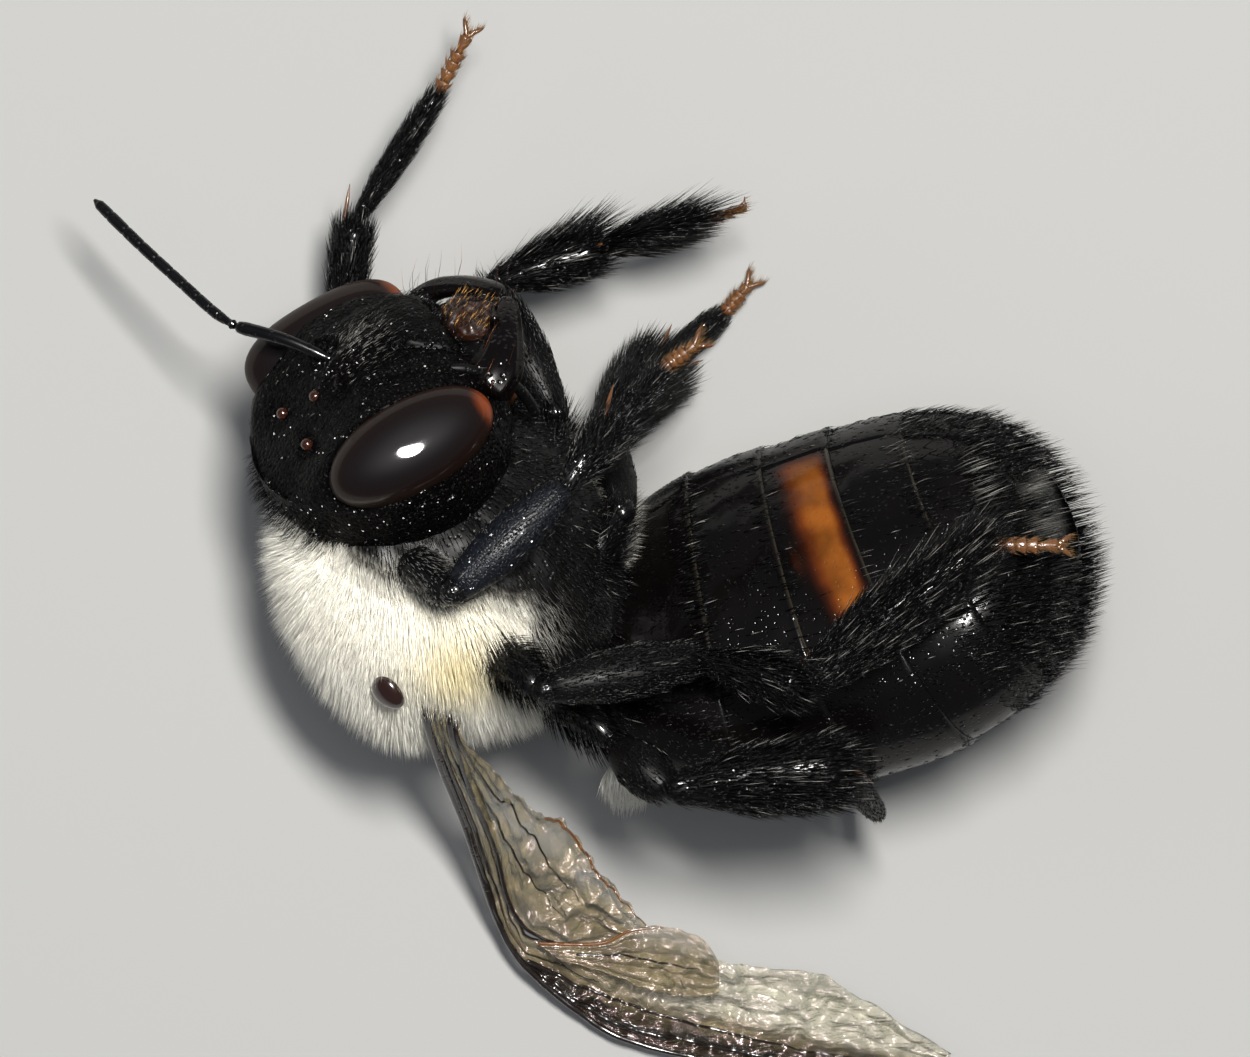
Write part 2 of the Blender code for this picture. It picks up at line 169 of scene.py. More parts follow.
def skin_of(rows):
    """Points, faces and unwrap of a tube given as rows of ring points; its ends become poles."""
    rows = np.asarray(rows, float)
    n, around = rows.shape[:2]
    points = rows.reshape(-1, 3)
    i, k = np.meshgrid(np.arange(around), np.arange(n - 1))
    j = (i + 1) % around
    quads = np.stack([k * around + i, k * around + j, (k + 1) * around + j,
                      (k + 1) * around + i], -1).reshape(-1, 4)
    u0, u1 = i / around, (i + 1) / around
    v0, v1 = k / (n - 1), (k + 1) / (n - 1)
    tile = np.stack([np.stack(c, -1) for c in ((u0, v0), (u1, v0), (u1, v1), (u0, v1))], -2)
    faces, corners = [tuple(q) for q in quads], [tile.reshape(-1, 2)]
    for row, pole, first in ((0, n * around, True), (n - 1, n * around + 1, False)):
        for s in range(around):
            a, b = row * around + s, row * around + (s + 1) % around
            faces.append((b, a, pole) if first else (a, b, pole))
            v = 0.0 if first else 1.0
            us = ((s + 1) / around, s / around) if first else (s / around, (s + 1) / around)
            corners.append(np.array([(us[0], v), (us[1], v), ((s + 0.5) / around, v)]))
    points = np.concatenate([points, [rows[0].mean(0), rows[-1].mean(0)]])
    return points, faces, corners


def smooth_path(points, count):
    """Count points along a Catmull-Rom curve through the given ones."""
    p = np.asarray(points, float)
    p = np.concatenate([[2 * p[0] - p[1]], p, [2 * p[-1] - p[-2]]])
    place_on = np.linspace(0, len(p) - 3, count)
    i = np.minimum(place_on.astype(int), len(p) - 4)
    t = (place_on - i)[:, None]
    a, b, c, d = p[i], p[i + 1], p[i + 2], p[i + 3]
    return 0.5 * (2 * b + (c - a) * t + (2 * a - 5 * b + 4 * c - d) * t ** 2
                  + (3 * b - a - 3 * c + d) * t ** 3)


def tube(path, wide, deep, up, around=16):
    """Rings along a path. Widths lie square to `up`, depths along it; also the rings' tangents."""
    path = np.asarray(path, float)
    ahead = unit(np.gradient(path, axis=0))
    across = unit(np.cross(np.broadcast_to(up, path.shape), ahead))
    over = np.cross(ahead, across)
    turn = np.linspace(0, 2 * math.pi, around, endpoint=False)
    wide, deep = (np.broadcast_to(w, len(path)) for w in (wide, deep))
    cos, sin = np.cos(turn)[None, :, None], np.sin(turn)[None, :, None]
    rows = (path[:, None] + across[:, None] * cos * wide[:, None, None]
            + over[:, None] * sin * deep[:, None, None])
    return rows, ahead


def rod(path, wide, deep, up, around=16):
    """The closed skin of a tube along a path."""
    return skin_of(tube(path, wide, deep, up, around)[0])


def profile(count, *pairs):
    """Values at `count` even places, from (share, value) pairs."""
    shares, values = zip(*pairs)
    return np.interp(np.linspace(0, 1, count), shares, values)


def join(*shells):
    """Several (points, faces, corners) in one, as for a foot with its claws."""
    points, faces, corners, start = [], [], [], 0
    for shell in shells:
        points.append(shell[0])
        faces += [tuple(i + start for i in f) for f in shell[1]]
        corners += shell[2]
        start += len(shell[0])
    return np.concatenate(points), faces, corners


# --- materials ------------------------------------------------------------------------------
def linear(code):
    """An sRGB hex colour as linear RGBA."""
    parts = [int(code[i:i + 2], 16) / 255 for i in (1, 3, 5)]
    return (*[c / 12.92 if c <= 0.04045 else ((c + 0.055) / 1.055) ** 2.4 for c in parts], 1.0)


def add(tree, kind, inputs=None, **settings):
    """Adds a node with its settings. An input is a value, a socket, or a node's first output."""
    made = tree.nodes.new(kind)
    for key, value in settings.items():
        setattr(made, key, value)
    for key, value in (inputs or {}).items():
        if isinstance(value, bpy.types.Node):
            value = value.outputs[0]
        if isinstance(value, bpy.types.NodeSocket):
            tree.links.new(value, made.inputs[key])
        else:
            made.inputs[key].default_value = value
    return made


def new_finish(name, **fixed):
    """A Principled material; `fixed` are sockets that are the same all over."""
    finish = bpy.data.materials.new(name)
    finish.use_nodes = True
    tree = finish.node_tree
    tree.nodes.clear()
    shader = add(tree, "ShaderNodeBsdfPrincipled",
                 {key.replace("_", " "): value for key, value in fixed.items()})
    add(tree, "ShaderNodeOutputMaterial", {"Surface": shader})
    return finish, tree, shader


def per_metre(millimetres):
    """The scale of a pattern whose features are this far apart."""
    return 1 / (millimetres * MM)


GRAIN_MM, BLOTCH_MM = 0.05, 1.3    # sizes of the leathery grain and of the duller blotches
FACET_TILT = 2.1                   # how strongly a facet's own way turns it from its surface


def cuticle(name, colour, roughness, pit_mm, pit_depth_mm, pit_share=0.5, grain=0.06,
            uneven=0.10, coat=0.25, second="#100C0A", level=0.5, pit_edge=0.5, facet_mm=0.0,
            coat_ior=1.5, coat_roughness=0.10):
    """Insect cuticle: hard black chitin, like lacquer, with round pits and a fine leathery
    grain between them. The pits' walls catch the light as small sparks; where facet_mm is
    given, the coat is broken into facets of that size, each tilted its own way, and coarser
    than real ones so that they show. A thin coat of a high index keeps black chitin black
    where it is seen at a glance."""
    finish, tree, shader = new_finish(name, IOR=1.56, Specular_IOR_Level=level,
                                      Coat_Weight=coat, Coat_Roughness=coat_roughness,
                                      Coat_IOR=coat_ior)
    where = add(tree, "ShaderNodeTexCoord").outputs["Object"]
    pits = add(tree, "ShaderNodeTexVoronoi", {"Vector": where, "Scale": per_metre(pit_mm)})
    low = add(tree, "ShaderNodeMapRange",
              {"Value": pits.outputs["Distance"], "From Min": 0.05, "From Max": pit_edge,
               "To Min": 0.0, "To Max": 1.0}, interpolation_type="SMOOTHSTEP")
    chance = add(tree, "ShaderNodeMath", {0: pits.outputs["Color"], 1: pit_share},
                 operation="GREATER_THAN")
    height = add(tree, "ShaderNodeMath", {0: low, 1: chance}, operation="MAXIMUM")
    leather = add(tree, "ShaderNodeTexNoise",
                  {"Vector": where, "Scale": per_metre(GRAIN_MM), "Detail": 2.0})
    fine = add(tree, "ShaderNodeBump", {"Height": leather.outputs["Fac"], "Strength": grain,
                                        "Distance": 0.01 * MM})
    deep = add(tree, "ShaderNodeBump", {"Height": height, "Strength": 1.0,
                                        "Distance": pit_depth_mm * MM, "Normal": fine})
    tree.links.new(deep.outputs["Normal"], shader.inputs["Normal"])
    tree.links.new(deep.outputs["Normal"], shader.inputs["Coat Normal"])
    if facet_mm:
        facets = add(tree, "ShaderNodeTexVoronoi", {"Vector": where,
                                                    "Scale": per_metre(facet_mm)})
        tilt = add(tree, "ShaderNodeVectorMath", {0: facets.outputs["Color"],
                                                  1: (0.5, 0.5, 0.5)}, operation="SUBTRACT")
        way = add(tree, "ShaderNodeVectorMath",
                  {0: tilt.outputs[0], 1: (FACET_TILT,) * 3,
                   2: add(tree, "ShaderNodeNewGeometry").outputs["Normal"]},
                  operation="MULTIPLY_ADD")
        facing = add(tree, "ShaderNodeVectorMath", {0: way.outputs[0]}, operation="NORMALIZE")
        tree.links.new(facing.outputs[0], shader.inputs["Coat Normal"])
    blotch = add(tree, "ShaderNodeTexNoise",
                 {"Vector": where, "Scale": per_metre(BLOTCH_MM), "Detail": 2.0})
    matt = add(tree, "ShaderNodeMapRange",
               {"Value": blotch.outputs["Fac"], "From Min": 0.3, "From Max": 0.7,
                "To Min": roughness, "To Max": roughness + uneven})
    tree.links.new(matt.outputs["Result"], shader.inputs["Roughness"])
    shade = add(tree, "ShaderNodeMix", {0: blotch.outputs["Fac"], 6: linear(colour),
                                        7: linear(second)}, data_type="RGBA")
    tree.links.new(shade.outputs[2], shader.inputs["Base Color"])
    return finish, tree, shader, shade.outputs[2]


def marked(finish, mark, colour, strength=1.0):
    """Lays a second colour over a cuticle where the vertex attribute `mark` says."""
    made, tree, shader, base = finish
    read = add(tree, "ShaderNodeAttribute", attribute_name=mark)
    share = add(tree, "ShaderNodeMath", {0: read.outputs["Fac"], 1: strength},
                operation="MULTIPLY")
    mixed = add(tree, "ShaderNodeMix", {0: share, 6: base, 7: linear(colour)}, data_type="RGBA")
    tree.links.new(mixed.outputs[2], shader.inputs["Base Color"])
    return made, tree, shader, mixed.outputs[2]


def hair_finish(name, dark, light, warm, roughness=0.45, glint_tip="#77736A", few=0.05,
                root=0.6, level=0.5):
    """Insect hair, chitin drawn fine: each tuft is painted darker towards its root, as shade from
    the hairs round it, and has a glossy side. Mark `pale` picks cream over black and `warm` picks
    straw over cream; a `few` of the dark ones are paler on their upper half, partly clear chitin
    and partly a painted glint."""
    finish, tree, shader = new_finish(name, IOR=1.55, Roughness=roughness,
                                      Specular_IOR_Level=level)
    pale, straw, rise, tint = (add(tree, "ShaderNodeAttribute", attribute_name=a).outputs["Fac"]
                               for a in (PALE, WARM, RISE, TINT))
    cream = add(tree, "ShaderNodeMix", {0: straw, 6: linear(light), 7: linear(warm)},
                data_type="RGBA")
    # A few dark hairs take a paler colour on their upper half: partly clear chitin, partly painted
    # glint.
    chosen = add(tree, "ShaderNodeMapRange", {"Value": tint, "From Min": 1 - few,
                                              "From Max": 1.02 - few})
    lit = add(tree, "ShaderNodeMapRange", {"Value": rise, "From Min": 0.35, "From Max": 0.75})
    clear = add(tree, "ShaderNodeMath", {0: chosen, 1: lit}, operation="MULTIPLY")
    black = add(tree, "ShaderNodeMix", {0: clear, 6: linear(dark), 7: linear(glint_tip)},
                data_type="RGBA")
    both = add(tree, "ShaderNodeMix", {0: pale, 6: black.outputs[2], 7: cream.outputs[2]},
               data_type="RGBA")
    # Darker towards the root: painted shade from the hairs around it.
    depth = add(tree, "ShaderNodeMapRange", {"Value": rise, "From Min": 0.0, "From Max": 0.6,
                                             "To Min": root, "To Max": 1.0})
    change = add(tree, "ShaderNodeMapRange", {"Value": tint, "To Min": 0.90, "To Max": 1.06})
    root_shade_and_tint = add(tree, "ShaderNodeMath", {0: depth, 1: change}, operation="MULTIPLY")
    shaded = add(tree, "ShaderNodeVectorMath", {0: both.outputs[2], "Scale": root_shade_and_tint},
                 operation="SCALE")
    tree.links.new(shaded.outputs[0], shader.inputs["Base Color"])
    return finish


# --- coats ----------------------------------------------------------------------------------
COAT_SIZES = {size: "NodeSocketFloat" for size in ("Tufts per mm2", "Length", "Width", "Lift",
                                                   "Bend", "Spread", "Clump", "Clump size")}
COAT_SIZES |= {"Segments": "NodeSocketInt", "Seed": "NodeSocketInt",
               "Finish": "NodeSocketMaterial"}
PATCH = 0.003        # a tuft's size on the unwrap
FLOOR_GAP = 0.03     # the least height in mm of a tuft's corners over the floor
SWELL = 1.5          # how much fuller a tuft is halfway up than a straight cone


def coat_tree():
    """Grows tufts from a skin: closed three-sided blades that lean and bend along the lie.
    A tuft is drawn coarser than a real hair, as coarse as it needs to be to show."""
    tree = bpy.data.node_groups.new("coat of tufts", "GeometryNodeTree")
    tree.is_modifier = True
    tree.interface.new_socket(name="Skin", in_out="INPUT", socket_type="NodeSocketGeometry")
    tree.interface.new_socket(name="Coat", in_out="OUTPUT", socket_type="NodeSocketGeometry")
    for name, kind in COAT_SIZES.items():
        tree.interface.new_socket(name=name, in_out="INPUT", socket_type=kind)
    given = add(tree, "NodeGroupInput").outputs

    cover, nap = (add(tree, "GeometryNodeInputNamedAttribute", {"Name": key})
                  for key in (COVER, NAP))
    lie, root = (add(tree, "GeometryNodeInputNamedAttribute", {"Name": key},
                     data_type="FLOAT_VECTOR") for key in (LIE, UNWRAP))
    crowd = add(tree, "ShaderNodeMath", {0: given["Tufts per mm2"], 1: cover},
                operation="MULTIPLY")
    density = add(tree, "ShaderNodeMath", {0: crowd, 1: 1 / MM ** 2}, operation="MULTIPLY")
    spots = add(tree, "GeometryNodeDistributePointsOnFaces",
                {"Mesh": given["Skin"], "Density": density, "Seed": given["Seed"]})
    rooted = add(tree, "GeometryNodeStoreNamedAttribute",
                 {"Geometry": spots.outputs["Points"], "Name": "root", "Value": root},
                 data_type="FLOAT_VECTOR", domain="POINT")
    chance = add(tree, "FunctionNodeRandomValue", {8: given["Seed"]}, data_type="FLOAT")
    tinted = add(tree, "GeometryNodeStoreNamedAttribute",
                 {"Geometry": rooted, "Name": TINT, "Value": chance.outputs[1]},
                 data_type="FLOAT", domain="POINT")

    position = add(tree, "GeometryNodeInputPosition")
    pitch = add(tree, "ShaderNodeMath", {0: 1.0, 1: given["Clump size"]}, operation="DIVIDE")
    scale = add(tree, "ShaderNodeMath", {0: pitch, 1: 1 / MM}, operation="MULTIPLY")
    wave = add(tree, "ShaderNodeTexNoise", {"Vector": position, "Scale": scale, "Detail": 1.0})
    centred = add(tree, "ShaderNodeVectorMath", {0: wave.outputs["Color"], 1: (0.5, 0.5, 0.5)},
                  operation="SUBTRACT")
    leaning = add(tree, "ShaderNodeVectorMath",
                  {0: spots.outputs["Normal"], 1: given["Lift"], 2: lie},
                  operation="MULTIPLY_ADD")
    clumped = add(tree, "ShaderNodeVectorMath", {0: centred, 1: given["Clump"], 2: leaning},
                  operation="MULTIPLY_ADD")
    stray = add(tree, "FunctionNodeRandomValue",
                {0: (-1.0, -1.0, -1.0), 1: (1.0, 1.0, 1.0), 8: given["Seed"]},
                data_type="FLOAT_VECTOR")
    way = add(tree, "ShaderNodeVectorMath", {0: stray, 1: given["Spread"], 2: clumped},
              operation="MULTIPLY_ADD")
    facing = add(tree, "FunctionNodeAxesToRotation",
                 {"Primary Axis": way, "Secondary Axis": lie},
                 primary_axis="Z", secondary_axis="X")
    uneven = add(tree, "FunctionNodeRandomValue", {2: 0.6, 3: 1.1, 8: given["Seed"]},
                 data_type="FLOAT")
    full = add(tree, "ShaderNodeMath", {0: given["Length"], 1: MM}, operation="MULTIPLY")
    reach = add(tree, "ShaderNodeMath", {0: uneven.outputs[1], 1: nap}, operation="MULTIPLY")
    length = add(tree, "ShaderNodeMath", {0: full, 1: reach}, operation="MULTIPLY")
    width = add(tree, "ShaderNodeMath", {0: given["Width"], 1: MM}, operation="MULTIPLY")
    size = add(tree, "ShaderNodeCombineXYZ", {"X": width, "Y": width, "Z": length})

    blade = add(tree, "GeometryNodeMeshCone",
                {"Vertices": 3, "Side Segments": given["Segments"], "Fill Segments": 1,
                 "Radius Top": 0.0, "Radius Bottom": 0.5, "Depth": 1.0}, fill_type="NGON")
    corner = add(tree, "ShaderNodeSeparateXYZ", {0: position})
    height = corner.outputs["Z"]
    marked_rise = add(tree, "GeometryNodeStoreNamedAttribute",
                      {"Geometry": blade.outputs["Mesh"], "Name": RISE, "Value": height},
                      data_type="FLOAT", domain="POINT")
    unrolled = add(tree, "ShaderNodeCombineXYZ", {"X": corner.outputs["X"], "Y": height})
    on_patch = add(tree, "ShaderNodeVectorMath", {0: unrolled, "Scale": PATCH},
                   operation="SCALE")
    patched = add(tree, "GeometryNodeStoreNamedAttribute",
                  {"Geometry": marked_rise, "Name": "patch", "Value": on_patch},
                  data_type="FLOAT_VECTOR", domain="POINT")
    slender = add(tree, "ShaderNodeMath", {0: given["Length"], 1: given["Width"]},
                  operation="DIVIDE")
    squared = add(tree, "ShaderNodeMath", {0: height, 1: 2.0}, operation="POWER")
    swing = add(tree, "ShaderNodeMath", {0: squared, 1: given["Bend"]}, operation="MULTIPLY")
    sideways = add(tree, "ShaderNodeMath", {0: swing, 1: slender}, operation="MULTIPLY")
    left_over = add(tree, "ShaderNodeMath", {0: 1.0, 1: height}, operation="SUBTRACT")
    middle = add(tree, "ShaderNodeMath", {0: height, 1: left_over}, operation="MULTIPLY")
    fuller = add(tree, "ShaderNodeMath", {0: middle, 1: SWELL}, operation="MULTIPLY")
    swollen = add(tree, "ShaderNodeVectorMath", {0: position, "Scale": fuller},
                  operation="SCALE")
    flat_swell = add(tree, "ShaderNodeVectorMath", {0: swollen, 1: (1.0, 1.0, 0.0)},
                     operation="MULTIPLY")
    lean = add(tree, "ShaderNodeCombineXYZ", {"X": sideways})
    bent_by = add(tree, "ShaderNodeVectorMath", {0: flat_swell, 1: lean}, operation="ADD")
    bent = add(tree, "GeometryNodeSetPosition", {"Geometry": patched, "Offset": bent_by})

    tufts = add(tree, "GeometryNodeInstanceOnPoints",
                {"Points": tinted, "Instance": bent, "Rotation": facing, "Scale": size})
    real = add(tree, "GeometryNodeRealizeInstances", {"Geometry": tufts})
    root_spot, patch_spot = (add(tree, "GeometryNodeInputNamedAttribute", {"Name": key},
                                 data_type="FLOAT_VECTOR") for key in ("root", "patch"))
    spot = add(tree, "ShaderNodeVectorMath", {0: root_spot, 1: patch_spot}, operation="ADD")
    mapped = add(tree, "GeometryNodeStoreNamedAttribute",
                 {"Geometry": real, "Name": "OFBake", "Value": spot},
                 data_type="FLOAT2", domain="CORNER")
    grown = add(tree, "ShaderNodeSeparateXYZ", {0: position})
    above = add(tree, "ShaderNodeMath", {0: grown.outputs["Z"], 1: FLOOR_GAP * MM},
                operation="MAXIMUM")
    off_floor = add(tree, "ShaderNodeCombineXYZ",
                    {"X": grown.outputs["X"], "Y": grown.outputs["Y"], "Z": above})
    settled = add(tree, "GeometryNodeSetPosition",
                  {"Geometry": mapped, "Position": off_floor})
    dressed = add(tree, "GeometryNodeSetMaterial",
                  {"Geometry": settled, "Material": given["Finish"]})
    add(tree, "NodeGroupOutput", {"Coat": dressed})
    return tree


COAT = coat_tree()


def grow_coat(name, skin, slot, finish, per_mm2, length, width, lift, bend, spread,
              clump=0.5, clump_size=0.35, segments=2, seed=1):
    """One piece of a coat, grown from a skin that holds cover, nap, lie and its unwrap.
    Lengths, widths and the size of clumps are in mm; lift, bend, spread and clump are shares."""
    holder = bpy.data.objects.new(name, skin.data.copy())
    bpy.context.scene.collection.objects.link(holder)
    growth = holder.modifiers.new("coat", "NODES")
    growth.node_group = COAT
    values = dict(zip(COAT_SIZES, (per_mm2, length, width, lift, bend, spread, clump,
                                   clump_size, segments, seed, finish)))
    for item in COAT.interface.items_tree:
        if item.in_out == "INPUT" and item.name in values:
            growth[item.identifier] = values[item.name]
    view = bpy.context.evaluated_depsgraph_get()
    grown = bpy.data.meshes.new_from_object(holder.evaluated_get(view))
    grown.name = name
    holder.modifiers.clear()
    bare = holder.data
    holder.data = grown
    bpy.data.meshes.remove(bare)
    for spare in (COVER, NAP, LIE, "root", "patch"):
        if spare in grown.attributes:
            grown.attributes.remove(grown.attributes[spare])
    grown.shade_smooth()
    print(f"{name}: {len(grown.polygons)} faces")
    return finish_piece(holder, finish, slot)


def remark(piece, marks):
    """Writes new coat attributes on a skin, so that a second kind of hair can grow from it."""
    for key, values in marks.items():
        kind = "vector" if np.ndim(values) == 2 else "value"
        values = np.asarray(values, np.float32)
        piece.data.attributes[key].data.foreach_set(kind, values.ravel())


def marks_for(count, cover, nap, lie, pale=0.0, warm=0.0):
    """The attributes that a coat grows from, one value each or one for each vertex."""
    return {COVER: np.broadcast_to(cover, count), NAP: np.broadcast_to(nap, count),
            LIE: np.broadcast_to(lie, (count, 3)), PALE: np.broadcast_to(pale, count),
            WARM: np.broadcast_to(warm, count)}


# --- finishes -------------------------------------------------------------------------------
# Chitin is black and hard all over; what differs is how coarsely each plate is punctured, and
# how thin it is, since thin chitin turns brown and then amber.
HEAD_CUTICLE = marked(cuticle("black chitin, coarsely punctured", "#010101", 0.30, 0.105, 0.034,
                              pit_share=0.95, grain=0.02, uneven=0.08, coat=0.04,
                              second="#030202", level=0.02, pit_edge=0.60, facet_mm=0.034,
                              coat_ior=3.0, coat_roughness=0.19),
                      "rim", "#6A6450", 0.5)[0]
BODY_CUTICLE = cuticle("black chitin, finely punctured", "#020202", 0.26, 0.12, 0.016,
                       pit_share=0.6, coat=0.06, second="#050404", level=0.12,
                       coat_ior=3.0)[0]
LEG_CUTICLE = cuticle("black chitin of the legs", "#020203", 0.26, 0.12, 0.014,
                      pit_share=0.5, coat=0.08, second="#050505", level=0.15,
                      coat_ior=3.0)[0]
# Its faint blue tint is painted sheen, the bluish light that the femur mirrors.
FEMUR_CUTICLE = cuticle("femur chitin, bluish sheen", "#020306", 0.34, 0.05, 0.010,
                        pit_share=0.9, grain=0.25, coat=0.06, second="#060A12", level=0.25,
                        pit_edge=0.6, facet_mm=0.035, coat_ior=3.0)[0]
DULL_CUTICLE = cuticle("dull black chitin of the flagellum", "#020202", 0.4, 0.06, 0.012,
                       coat=0.0, second="#040303", level=0.12)[0]
JAW_CUTICLE = cuticle("brown-black jaw chitin", "#020101", 0.24, 0.12, 0.014, pit_share=0.7,
                      coat=0.07, second="#040202", level=0.08, coat_ior=3.0)[0]
BROWN_CUTICLE = cuticle("brown chitin of feet and spurs", "#3A2010", 0.28, 0.08, 0.008,
                        second="#5C3A1C")[0]
TEGULA = cuticle("brown wing-root chitin", "#0A0403", 0.14, 0.09, 0.003, coat=0.7,
                 second="#1E0B06")[0]
VEIN = cuticle("dark wing vein", "#0E0603", 0.2, 0.1, 0.006, coat=0.6)[0]
AMBER_VEIN = cuticle("amber wing vein", "#3A1D06", 0.22, 0.1, 0.008, coat=0.6,
                     second="#5A360E")[0]
# Thin chitin under the pile, painted as the pile is so that no gap shows another colour.
UNDER_PILE = marked(cuticle("chitin under the pile", "#020202", 0.4, 0.12, 0.02, coat=0.0,
                            second="#040303", level=0.2), PALE, "#DEDACC")[0]

# Hair is the same chitin drawn fine: black and stiff, or clear enough to look gold or cream.
BLACK_HAIR = hair_finish("stiff black hair", "#030303", "#E4E2D8", "#CDBB86", roughness=0.28,
                         glint_tip="#84827C", few=0.03, level=0.22)
RED_HAIR = hair_finish("reddish jaw bristles", "#2A1006", "#B07F3A", "#C09048",
                       glint_tip="#80461C", few=0.3)
# The brush is dark; the gold of its few bright tips is partly golden hair and partly painted
# glint.
BRUSH_HAIR = hair_finish("golden brush on the labrum", "#140A04", "#B07F3A", "#C09048",
                         glint_tip="#CC9748", few=0.3)
GOLD_HAIR = hair_finish("golden foot bristles", "#5A3814", "#B07F3A", "#C09048",
                        glint_tip="#A88038", few=0.5)
PILE_HAIR = hair_finish("cream thorax pile", "#0A0908", "#E3E0D4", "#CBBD90", roughness=0.6,
                        root=0.78)


def eye_finish():
    """Compound eye: thousands of clear facets over dark pigment, smooth and glossy, brown deep
    inside, with an amber rim painted at the mouth's end for light that passes through its edge."""
    finish, tree, shader = new_finish("compound eye", IOR=1.45, Roughness=0.5, Coat_Weight=0.14,
                                      Coat_Roughness=0.06, Coat_IOR=2.2,
                                      Specular_IOR_Level=0.06)
    edge = add(tree, "ShaderNodeAttribute", attribute_name="amber")
    glance = add(tree, "ShaderNodeLayerWeight", {"Blend": 0.25})
    depth = add(tree, "ShaderNodeMix", {0: glance.outputs["Facing"], 6: linear("#070506"),
                                        7: linear("#24150C")}, data_type="RGBA")
    # Painted amber along the lower edge, standing in for light shining through it.
    mixed = add(tree, "ShaderNodeMix", {0: edge.outputs["Fac"], 6: depth.outputs[2],
                                        7: linear("#5E280C")}, data_type="RGBA")
    tree.links.new(mixed.outputs[2], shader.inputs["Base Color"])
    where = add(tree, "ShaderNodeTexCoord").outputs["Object"]
    facets = add(tree, "ShaderNodeTexVoronoi", {"Vector": where, "Scale": per_metre(0.03)})
    relief = add(tree, "ShaderNodeBump", {"Height": facets.outputs["Distance"],
                                          "Strength": 0.12, "Distance": 0.002 * MM},
                 invert=True)
    tree.links.new(relief.outputs["Normal"], shader.inputs["Normal"])
    return finish


def amber_finish(name, colour, roughness):
    """Thin, half-clear chitin: light soaks in and comes back amber."""
    finish, tree, shader = new_finish(name, IOR=1.54, Coat_Weight=0.3,
                                      Subsurface_Weight=0.35,
                                      Subsurface_Radius=(0.5 * MM, 0.2 * MM, 0.06 * MM))
    where = add(tree, "ShaderNodeTexCoord").outputs["Object"]
    cloud = add(tree, "ShaderNodeTexNoise", {"Vector": where, "Scale": per_metre(0.35),
                                             "Detail": 4.0})
    tone = add(tree, "ShaderNodeMix", {0: cloud.outputs["Fac"], 6: linear(colour),
                                       7: linear("#2A1206")}, data_type="RGBA")
    tree.links.new(tone.outputs[2], shader.inputs["Base Color"])
    gloss = add(tree, "ShaderNodeMapRange", {"Value": cloud.outputs["Fac"],
                                             "To Min": roughness, "To Max": roughness + 0.2})
    tree.links.new(gloss.outputs["Result"], shader.inputs["Roughness"])
    ripple = add(tree, "ShaderNodeBump", {"Height": cloud.outputs["Fac"], "Strength": 0.6,
                                          "Distance": 0.03 * MM})
    tree.links.new(ripple.outputs["Normal"], shader.inputs["Normal"])
    return finish


EYE_LENS = eye_finish()
LABRUM = amber_finish("brown labrum", "#0E0603", 0.22)
OCELLUS = amber_finish("simple eyes", "#1C0A07", 0.08)


# --- head -----------------------------------------------------------------------------------
HEAD_SEMI = np.array((3.1, 1.98, 2.78))
CHIN, OCCIPUT = 2.62, 1.75     # how far the capsule reaches down and back
OCELLI = {"front": (0.0, 1.50, 1.05), "left": (-0.65, 1.02, 1.72), "right": (0.65, 1.02, 1.72)}
OCELLUS_RADIUS = 0.135
OCELLUS_HOLLOW = np.array((0.65, 0.98, 1.72))    # the middle of the right one's ring groove
SOCKET_OUT, SOCKET_UP = 0.62, 0.42               # a feeler's socket on the face
HIND_RIM = -1.36                                 # where the head's hind rim lies, along Y


def head_surface(ways):
    """The bare head capsule along directions from its middle, in the head's frame."""
    x, y, z = ways.T
    across = x / HEAD_SEMI[0]
    up = z / np.where(z < 0, CHIN, HEAD_SEMI[2])
    ahead = y / np.where(y < 0, OCCIPUT, HEAD_SEMI[1])
    reach = (np.hypot(across, up) ** 3 + np.abs(ahead) ** 3) ** (-1 / 3)
    p = ways * reach[:, None]
    x, y, z = p.T
    front = ease(y, 0.0, 0.8)
    muzzle = np.exp(-((x / 1.3) ** 2 + ((z + 1.0) / 1.3) ** 2))
    slope = 1 - (0.33 - 0.14 * ease(np.abs(x), 0.8, 1.8)) * np.maximum(z - 0.4, 0) * front
    new_y = np.where(y > 0, y * slope + 0.22 * muzzle * front, y)
    new_x = x * np.where(z < 0, 1 - 0.05 * (z / CHIN) ** 2, 1)
    return np.stack([new_x, new_y, z], -1)


def eye_distance(p, side):
    """1 on an eye's surface, less inside it."""
    return np.linalg.norm((p - (side * EYE_SIDE, EYE_FORWARD, 0)) / EYE_SEMI, axis=-1)


